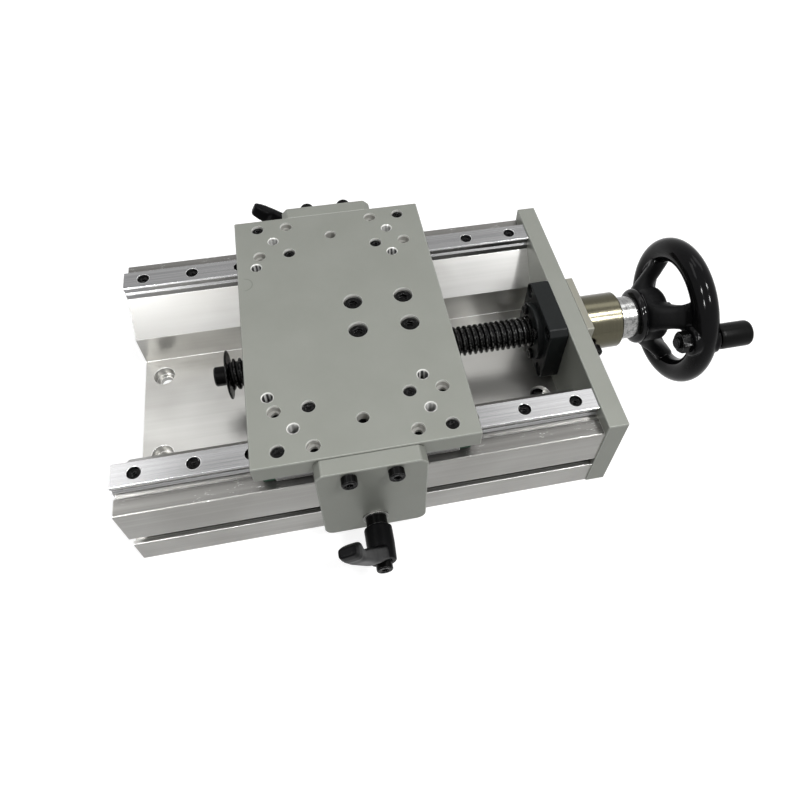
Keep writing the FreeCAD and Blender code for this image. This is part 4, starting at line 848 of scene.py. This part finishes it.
# %% [markdown]
# ## The handwheel
# The wheel has a turned hub with a polished ring, three dished spokes that widen into hub and rim, a
# round rim and a boss for the handle. The rim and hub ring are polished, the rest is grained.

# %% Spokes, rim and boss
WHEEL_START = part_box("handwheel")[0].x / MM
RIM_RADIUS, RIM_OFFSET, RIM_HALF = 33.5, 25.5, 6.5
HANDLE_ANGLE, HANDLE_RADIUS = 160.0, 31.5
SPOKES = (
    (7.0, 8.4, 8.5, 5.5), (12.0, 10.0, 8.0, 6.0), (15.75, 12.0, 7.0, 6.4), (18.5, 14.5, 6.3, 6.4),
    (21.0, 17.3, 6.1, 6.4), (24.0, 20.6, 6.6, 6.1), (27.0, 23.7, 8.0, 6.0), (29.5, 25.2, 10.0, 5.8),
    (33.5, 25.5, 12.0, 5.8),
)
SPOKE_TURNS = (138.0, 258.0, 18.0)
circle = [(RIM_RADIUS + RIM_HALF * math.cos(a), RIM_OFFSET + RIM_HALF * math.sin(a)) for a in ring_angles(40)]
rim_ring = turned(circle, around=160, closed=True)
boss_x = HANDLE_RADIUS * math.cos(math.radians(HANDLE_ANGLE))
boss_y = HANDLE_RADIUS * math.sin(math.radians(HANDLE_ANGLE))
boss = turned([(0, 17.5), (7.2, 17.5), (8.0, 18.3), (8.0, 31.7), (7.7, 32.1), (0, 32.1)], around=40)
boss = shifted(boss, boss_x, boss_y, 0.0)
hub_core = turned([(0, 5.2), (13.4, 5.2), (14.4, 7.5), (14.6, 15.2), (13.6, 16.7), (0, 16.7)], around=64)
wheel_parts = [rim_ring, hub_core, boss] + [limb(SPOKES, 0.55, turn) for turn in SPOKE_TURNS]
wheel = fused("wheel_casting", [along_screw(part, WHEEL_START) for part in wheel_parts], 0.62, 7)
wheel_points = read_points(wheel)
print("wheel points:", len(wheel_points))

# %% Move the rim's points back onto the true ring
from_axis = np.hypot(wheel_points[:, 1], wheel_points[:, 2] - AXIS_Z)
along = wheel_points[:, 0] - WHEEL_START - RIM_OFFSET
from_ring = np.hypot(from_axis - RIM_RADIUS, along)
share = np.clip((0.75 - np.abs(from_ring - RIM_HALF)) / 0.35, 0.0, 1.0)
grow = (RIM_HALF / np.maximum(from_ring, 0.1) - 1.0) * share
new_reach = from_axis + (from_axis - RIM_RADIUS) * grow
scale = new_reach / np.maximum(from_axis, 0.1)
wheel_points[:, 0] += along * grow
wheel_points[:, 1] *= scale
wheel_points[:, 2] = AXIS_Z + (wheel_points[:, 2] - AXIS_Z) * scale
write_points(wheel, wheel_points)
wheel.data.shade_smooth()
dress(wheel, "screw", wheel_black, ["handwheel"])
print("rim points held on the ring:", int((share > 0.5).sum()))

# %% The hub's polished ring
hub_ring = turned([(5.2, 0.0), (11.4, 0.0), (13.2, 0.25), (14.4, 1.0), (14.95, 2.2), (14.95, 3.6),
                   (14.5, 4.6), (13.7, 5.2), (13.4, 5.8), (5.2, 5.8)], around=96, closed=True)
piece("wheel_hub_ring", along_screw(hub_ring, WHEEL_START), "screw", hub_gloss, crease=50.0)
print("hub ring at x", round(WHEEL_START, 2))

# %% [markdown]
# ## The handle
# The grip turns on a spindle that is screwed through the rim's boss. It is a moulded barrel with
# rounded ends and a recess at its end, in which the spindle's head shows.

# %% The grip
grip_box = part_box("handle_grip")
grip_low = grip_box[0].x / MM
grip_length = (grip_box[1].x - grip_box[0].x) / MM
grip_rim = (grip_box[1].y - grip_box[0].y) / 2 / MM
grip = turned([
    (3.55, 0.0), (grip_rim - 1.0, 0.0), (grip_rim - 0.35, 0.25), (grip_rim - 0.1, 0.8), (grip_rim, 2.2),
    (grip_rim, grip_length - 2.2), (grip_rim - 0.12, grip_length - 1.3), (grip_rim - 0.5, grip_length - 0.5),
    (grip_rim - 1.1, grip_length - 0.1), (grip_rim - 1.5, grip_length), (5.1, grip_length),
    (5.1, grip_length - 3.9), (3.55, grip_length - 3.9)], around=72, closed=True)
handle_y = (grip_box[0].y + grip_box[1].y) / 2 / MM
handle_z = (grip_box[0].z + grip_box[1].z) / 2 / MM
piece("turning_grip", placed(grip, (grip_low, handle_y, handle_z), RIGHT), "grip", grip_black,
      ["handle_grip"], crease=40.0)
print("grip", round(grip_length, 2), "mm long")

# %% The spindle and its nut
spindle_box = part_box("handle_spindle")
nut_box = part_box("handle_nut")
pin_low = spindle_box[0].x / MM - grip_low
pin_high = spindle_box[1].x / MM - grip_low
nut_low, nut_high = [corner.x / MM - grip_low for corner in nut_box]
pin = turned([
    (0, pin_low), (2.5, pin_low), (3.0, pin_low + 0.6), (3.0, -1.1), (5.3, -1.1), (5.5, -0.95), (5.5, -0.45),
    (5.3, -0.3), (3.5, -0.3), (3.5, pin_high - 3.0), (4.8, pin_high - 3.0), (4.8, pin_high - 0.6),
    (4.3, pin_high), (float(hexagon(5.0).max()) + 0.2, pin_high), (hexagon(5.0), pin_high - 0.3),
    (hexagon(5.0), pin_high - 2.2), (0, pin_high - 2.4)], around=48)
nut_flats = hexagon(10.0)
nut_shoulder = np.minimum(nut_flats, 5.15)
handle_nut = turned([
    (3.05, nut_low), (nut_shoulder, nut_low), (nut_flats, nut_low + 0.5), (nut_flats, nut_high - 0.1),
    (nut_shoulder, nut_high), (3.05, nut_high)], around=48, closed=True)
at_handle = (grip_low, handle_y, handle_z)
piece("handle_pin", placed(pin, at_handle, RIGHT), "screw", black_screws, ["handle_spindle"],
      crease=30.0)
piece("handle_lock_nut", placed(handle_nut, at_handle, RIGHT), "screw", black_screws,
      ["handle_nut"], crease=30.0)
print("spindle", round(pin_high - pin_low, 2), "mm long")

# %% [markdown]
# ## Clamp levers
# A stud runs in the slot nut and ends in a splined neck. The lever's hub sits on the splines, held by
# a spring and a screw, so it can be pulled out and set to another angle. The arm leaves the hub's
# outer half, leans outward and widens to its tip.

# %% One lever's forms in its own frame, outward along local Z
LEVER_Z = 19.25
HUB_START, HUB_LENGTH = 6.0, 16.5
HUB_END = HUB_START + HUB_LENGTH
ARM = (
    (-3.0, 12.2, 4.4, 4.0), (0.0, 12.4, 4.5, 4.0), (6.0, 15.0, 4.4, 3.6), (13.0, 17.9, 4.0, 3.7),
    (20.0, 20.1, 3.8, 3.5), (28.0, 22.6, 3.8, 3.05), (34.0, 24.6, 3.8, 2.6), (36.0, 24.8, 3.9, 2.8),
    (38.5, 24.3, 4.1, 3.7), (40.0, 24.5, 4.2, 3.8), (43.0, 25.35, 4.1, 3.15), (46.0, 26.2, 3.7, 2.2),
    (46.8, 26.3, 3.0, 1.5),
)
hub = turned([(0, HUB_START), (5.9, HUB_START), (6.5, HUB_START + 0.6), (6.5, HUB_START + 8.0),
              (6.1, HUB_END - 0.4), (5.8, HUB_END), (0, HUB_END)], around=48)
top_bore = turned([(0, HUB_START + 6.0), (4.1, HUB_START + 6.0), (4.1, HUB_END + 9.0),
                   (0, HUB_END + 9.0)])
low_bore = turned([(0, HUB_START - 2.0), (3.95, HUB_START - 2.0), (3.95, HUB_START + 4.5),
                   (2.3, HUB_START + 4.6), (2.3, HUB_START + 6.5), (0, HUB_START + 6.5)])
spline = toothed(3.9, 0.35)
stud = turned([(0, -13.7), (2.6, -13.7), (2.88, -13.4), (2.88, 1.0), (4.9, 1.0), (4.9, 5.5), (4.5, 5.9),
               (spline, 6.0), (spline, 8.8), (3.4, 9.0), (2.02, 9.0), (2.02, 2.0), (0, 2.0)])
print("lever reach:", ARM[-1][0])

# %% Both levers, with studs and screws


def on_bracket(form, outward):
    """From a lever's own frame to its place on the bracket."""
    turn = Euler((math.radians(90.0 * -outward[1]), 0, 0)).to_matrix()
    return form[0] @ np.array(turn).T + np.array((0.0, BRACKET_FACE * outward[1], LEVER_Z)), form[1]


for side, outward, turn in (("front", FRONT, 109.0), ("rear", REAR, -152.0)):
    arm = limb(ARM, 0.45, turn, HUB_START)
    lever = fused("lever_arm_" + side, [on_bracket(form, outward) for form in (arm, hub)], 0.36, 3)
    bored(lever, on_bracket(top_bore, outward))
    bored(lever, on_bracket(low_bore, outward))
    lever.data.shade_smooth()
    lever.data.set_sharp_from_angle(angle=math.radians(40.0))
    dress(lever, side + "_lever", lever_black, ["lever_handle_" + side])
    piece("lever_neck_" + side, on_bracket(stud, outward), side + "_clamp", black_screws,
          ["lever_stud_" + side], crease=25.0)
    seat = (0.0, (BRACKET_FACE + HUB_END) * outward[1], LEVER_Z)
    screws("lever_cap_screw_" + side, 4, 20.0, [seat], outward, side + "_clamp", "lever_screw_" + side,
           head=7.5)
print("levers made:", 2)

# %% [markdown]
# ### The springs in the levers
# A spring presses each lever onto its splines. Pulling the lever out squashes the real spring along its
# axis, against the screw's head; the coil here keeps its resting shape.

# %% The coil spring inside each lever
coil_low, coil_high, coil_wire, coil_radius, coil_turns = 12.3, 22.4, 0.34, 3.3, 6
steps = 24 * coil_turns
wire_angle = ring_angles(10)
reach = coil_radius + coil_wire * np.cos(wire_angle)
sections = []
for step in range(steps + 1):
    swing = 2 * math.pi * coil_turns * step / steps
    rise = coil_low + coil_wire + (coil_high - coil_low - 2 * coil_wire) * step / steps
    sections.append(np.column_stack([reach * math.cos(swing), reach * math.sin(swing),
                                     rise + coil_wire * np.sin(wire_angle)]))
coil_form = skinned(sections)
for side, outward in SIDES:
    coil = piece("lever_coil_" + side, on_bracket(coil_form, outward), side + "_clamp",
                 bright_steel, ["lever_spring_" + side])
    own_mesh(coil)
print("coil turns:", coil_turns)

# %% [markdown]
# ## Carriage end caps
# Each carriage is a steel block between two moulded caps that turn the balls round. A cap ends in a
# thin rubber seal that wipes the rail, held by two small screws beside a grease port.

# %% The parts of one cap
RAIL_TOP, RAIL_HALF = 51.0, 6.0
CARRIAGE_LOW, CARRIAGE_HIGH, BLOCK_HALF = 46.0, 56.0, 10.85
CAP_DEPTH, SEAL_DEPTH = 5.3, 6.3


def saddle(half, edge, low, high, gap):
    """The outline of a block astride the rail, in Y and Z about the rail's middle."""
    inner = RAIL_HALF + gap
    roof = RAIL_TOP + gap
    right = [(inner, roof), (inner, low), (half - edge, low), (half, low + edge), (half, high - edge),
             (half - edge, high)]
    return right + [(-y, z) for y, z in reversed(right)]


def end_cap(x, y, way):
    """One cap from the steel outward: moulded body, seal, two screws and the port's ring."""
    outline = saddle(13.1, 1.4, CARRIAGE_LOW + 0.4, CARRIAGE_HIGH - 0.4, 0.3)
    seal_outline = saddle(12.3, 1.2, CARRIAGE_LOW + 0.7, CARRIAGE_HIGH - 0.9, 0.12)
    body = extruded(outline, 0.0, CAP_DEPTH)
    wiper = extruded(seal_outline, CAP_DEPTH, SEAL_DEPTH)
    dot = turned([(0, CAP_DEPTH), (1.3, CAP_DEPTH), (1.3, 6.25), (1.1, 6.45), (hexagon(1.1, 24), 6.45),
                  (0, 6.0)], around=24)
    port = turned([(1.0, CAP_DEPTH), (1.6, CAP_DEPTH), (1.6, 6.4), (1.0, 6.4)], around=24, closed=True)
    fittings = [shifted(dot, across, 50.0, 0.0) for across in (-8.6, 8.6)]
    fittings.append(shifted(port, 0.0, 53.4, 0.0))

    def settle(form):
        local = form[0]
        moved = np.column_stack([x + way * (BLOCK_HALF + local[:, 2]), y + local[:, 0], local[:, 1]])
        return moved, form[1]

    return settle(body), settle(wiper), [settle(form) for form in fittings]


print("cap depth:", CAP_DEPTH, "mm")

# %% The four pairs of caps
for name in ("front_left", "front_right", "rear_left", "rear_right"):
    x = -CARRIAGE_X if name.endswith("left") else CARRIAGE_X
    y = -RAIL_Y if name.startswith("front") else RAIL_Y
    pair = [end_cap(x, y, way) for way in (-1, 1)]
    piece("moulded_caps_" + name, joined(*[part[0] for part in pair]), "table", cap_plastic,
          ["carriage_caps_" + name])
    piece("rail_wipers_" + name, joined(*[part[1] for part in pair]), "table", seal_rubber)
    piece("cap_fittings_" + name, joined(*[form for part in pair for form in part[2]]), "table",
          bright_steel)
print("pairs of caps: 4")

# %% [markdown]
# ## Floor and lights
# The floor drops away past the end plate, because the handwheel reaches below the base and hangs past
# the bench's edge. It glows for the camera and in reflections alone, so it looks as white as the
# background and still takes a shadow.

# %% The bench top with its dropped edge
floor_edge, drop = 0.128, 0.05
profile = [(-4.0, 0.0), (floor_edge - 0.02, 0.0), (floor_edge - 0.004, -0.001), (floor_edge, -0.006),
           (floor_edge, -drop + 0.01), (floor_edge + 0.01, -drop), (4.0, -drop)]
floor_points = [(x, y, z - 0.00002) for x, z in profile for y in (-4.0, 4.0)]
floor_faces = [(2 * i, 2 * i + 2, 2 * i + 3, 2 * i + 1) for i in range(len(profile) - 1)]
floor_mesh = bpy.data.meshes.new("floor")
floor_mesh.from_pydata(floor_points, [], floor_faces)
floor = linked("floor", floor_mesh)
print("floor edge at x", floor_edge)

# %% The floor's finish
CAMERA_GLOW, MIRROR_GLOW = 0.82, 0.7
bench = Finish("floor", (0.38, 0.38, 0.38), 0.0, 0.9, specular=0.1)
rays = bench.node("ShaderNodeLightPath").outputs
seen = bench.times(rays["Is Camera Ray"], CAMERA_GLOW)
mirrored = bench.times(rays["Is Glossy Ray"], MIRROR_GLOW)
strength = bench.plus(seen, mirrored)
glow = bench.node("ShaderNodeEmission", {"Color": (1.0, 1.0, 1.0), "Strength": strength})
both = bench.node("ShaderNodeAddShader", {0: bench.shader.outputs[0], 1: glow.outputs[0]})
bench.fill(bench.tree.nodes["Material Output"].inputs["Surface"], both.outputs[0])
floor_mesh.materials.append(bench.material)
print("floor glow:", CAMERA_GLOW, MIRROR_GLOW)

# %% [markdown]
# ### Sky and overhead softboxes
# The world is white to the camera and to reflections, and a dimmer sky to all other rays. Three
# softboxes give the long soft reflections.

# %% The world
SKY = 0.38
world = bpy.data.worlds.new("world")
bpy.context.scene.world = world
world.use_nodes = True
nodes, links = world.node_tree.nodes, world.node_tree.links
background = nodes["Background"]
background.inputs["Color"].default_value = (1, 1, 1, 1)
path = nodes.new("ShaderNodeLightPath")
white_rays = path.outputs["Is Camera Ray"]
for ray in ("Is Glossy Ray", "Is Transmission Ray"):
    either = nodes.new("ShaderNodeMath")
    either.operation = "MAXIMUM"
    links.new(white_rays, either.inputs[0])
    links.new(path.outputs[ray], either.inputs[1])
    white_rays = either.outputs[0]
strength = nodes.new("ShaderNodeMapRange")
strength.inputs[3].default_value = SKY
strength.inputs[4].default_value = 1.0
links.new(white_rays, strength.inputs[0])
links.new(strength.outputs[0], background.inputs["Strength"])
print("sky strength:", SKY)

# %% Overhead softboxes


def softbox(name, location, target, width, height, power):
    """A rectangular area light that faces its target."""
    data = bpy.data.lights.new(name, "AREA")
    data.shape = "RECTANGLE"
    data.size = width
    data.size_y = height
    data.energy = power
    lamp = linked(name, data)
    lamp.location = location
    lamp.rotation_euler = (Vector(target) - Vector(location)).to_track_quat("-Z", "Y").to_euler()
    return lamp


OVERHEAD = ((-0.66, 0.5, 0.62, 2.3), (0.0, 0.6, 0.26, 0.7), (0.62, 0.6, 0.62, 1.5))
for x, y, width, power in OVERHEAD:
    softbox("overhead", (x, y, 1.1), (0.0, 0.0, 0.0), width, 0.32, power)
print("overhead softboxes:", len(OVERHEAD))

# %% [markdown]
# ### The window
# One lamp gives the window's light and stays out of reflections. Four panes give its reflections on
# the handwheel's rim and no diffuse light, so each is set without the other.

# %% The window's light and its panes
CENTRE = Vector((0.1, 0.0, 0.04))
WINDOW_DISTANCE, PANE_STEP = 1.1, 0.17
LIGHT_WAY = Vector((0.377, -0.415, 0.828))
PANE_WAYS = (Vector((0.377, -0.311, 0.872)), Vector((-0.485, -0.355, 0.799)))
window_light = softbox("window_light", CENTRE + WINDOW_DISTANCE * LIGHT_WAY, CENTRE, 0.3, 0.24, 7.0)
window_light.visible_glossy = False
for way in PANE_WAYS:
    upward = Vector((1.0, 0.0, 0.0)).cross(way).normalized()
    for row in (-1, 1):
        spot = CENTRE + WINDOW_DISTANCE * way + PANE_STEP * row * upward
        pane = softbox("window_pane", spot, CENTRE, 0.1, 0.14, 5.2)
        pane.visible_diffuse = False
bpy.context.scene.view_settings.view_transform = "Standard"
print("window panes:", 2 * len(PANE_WAYS))
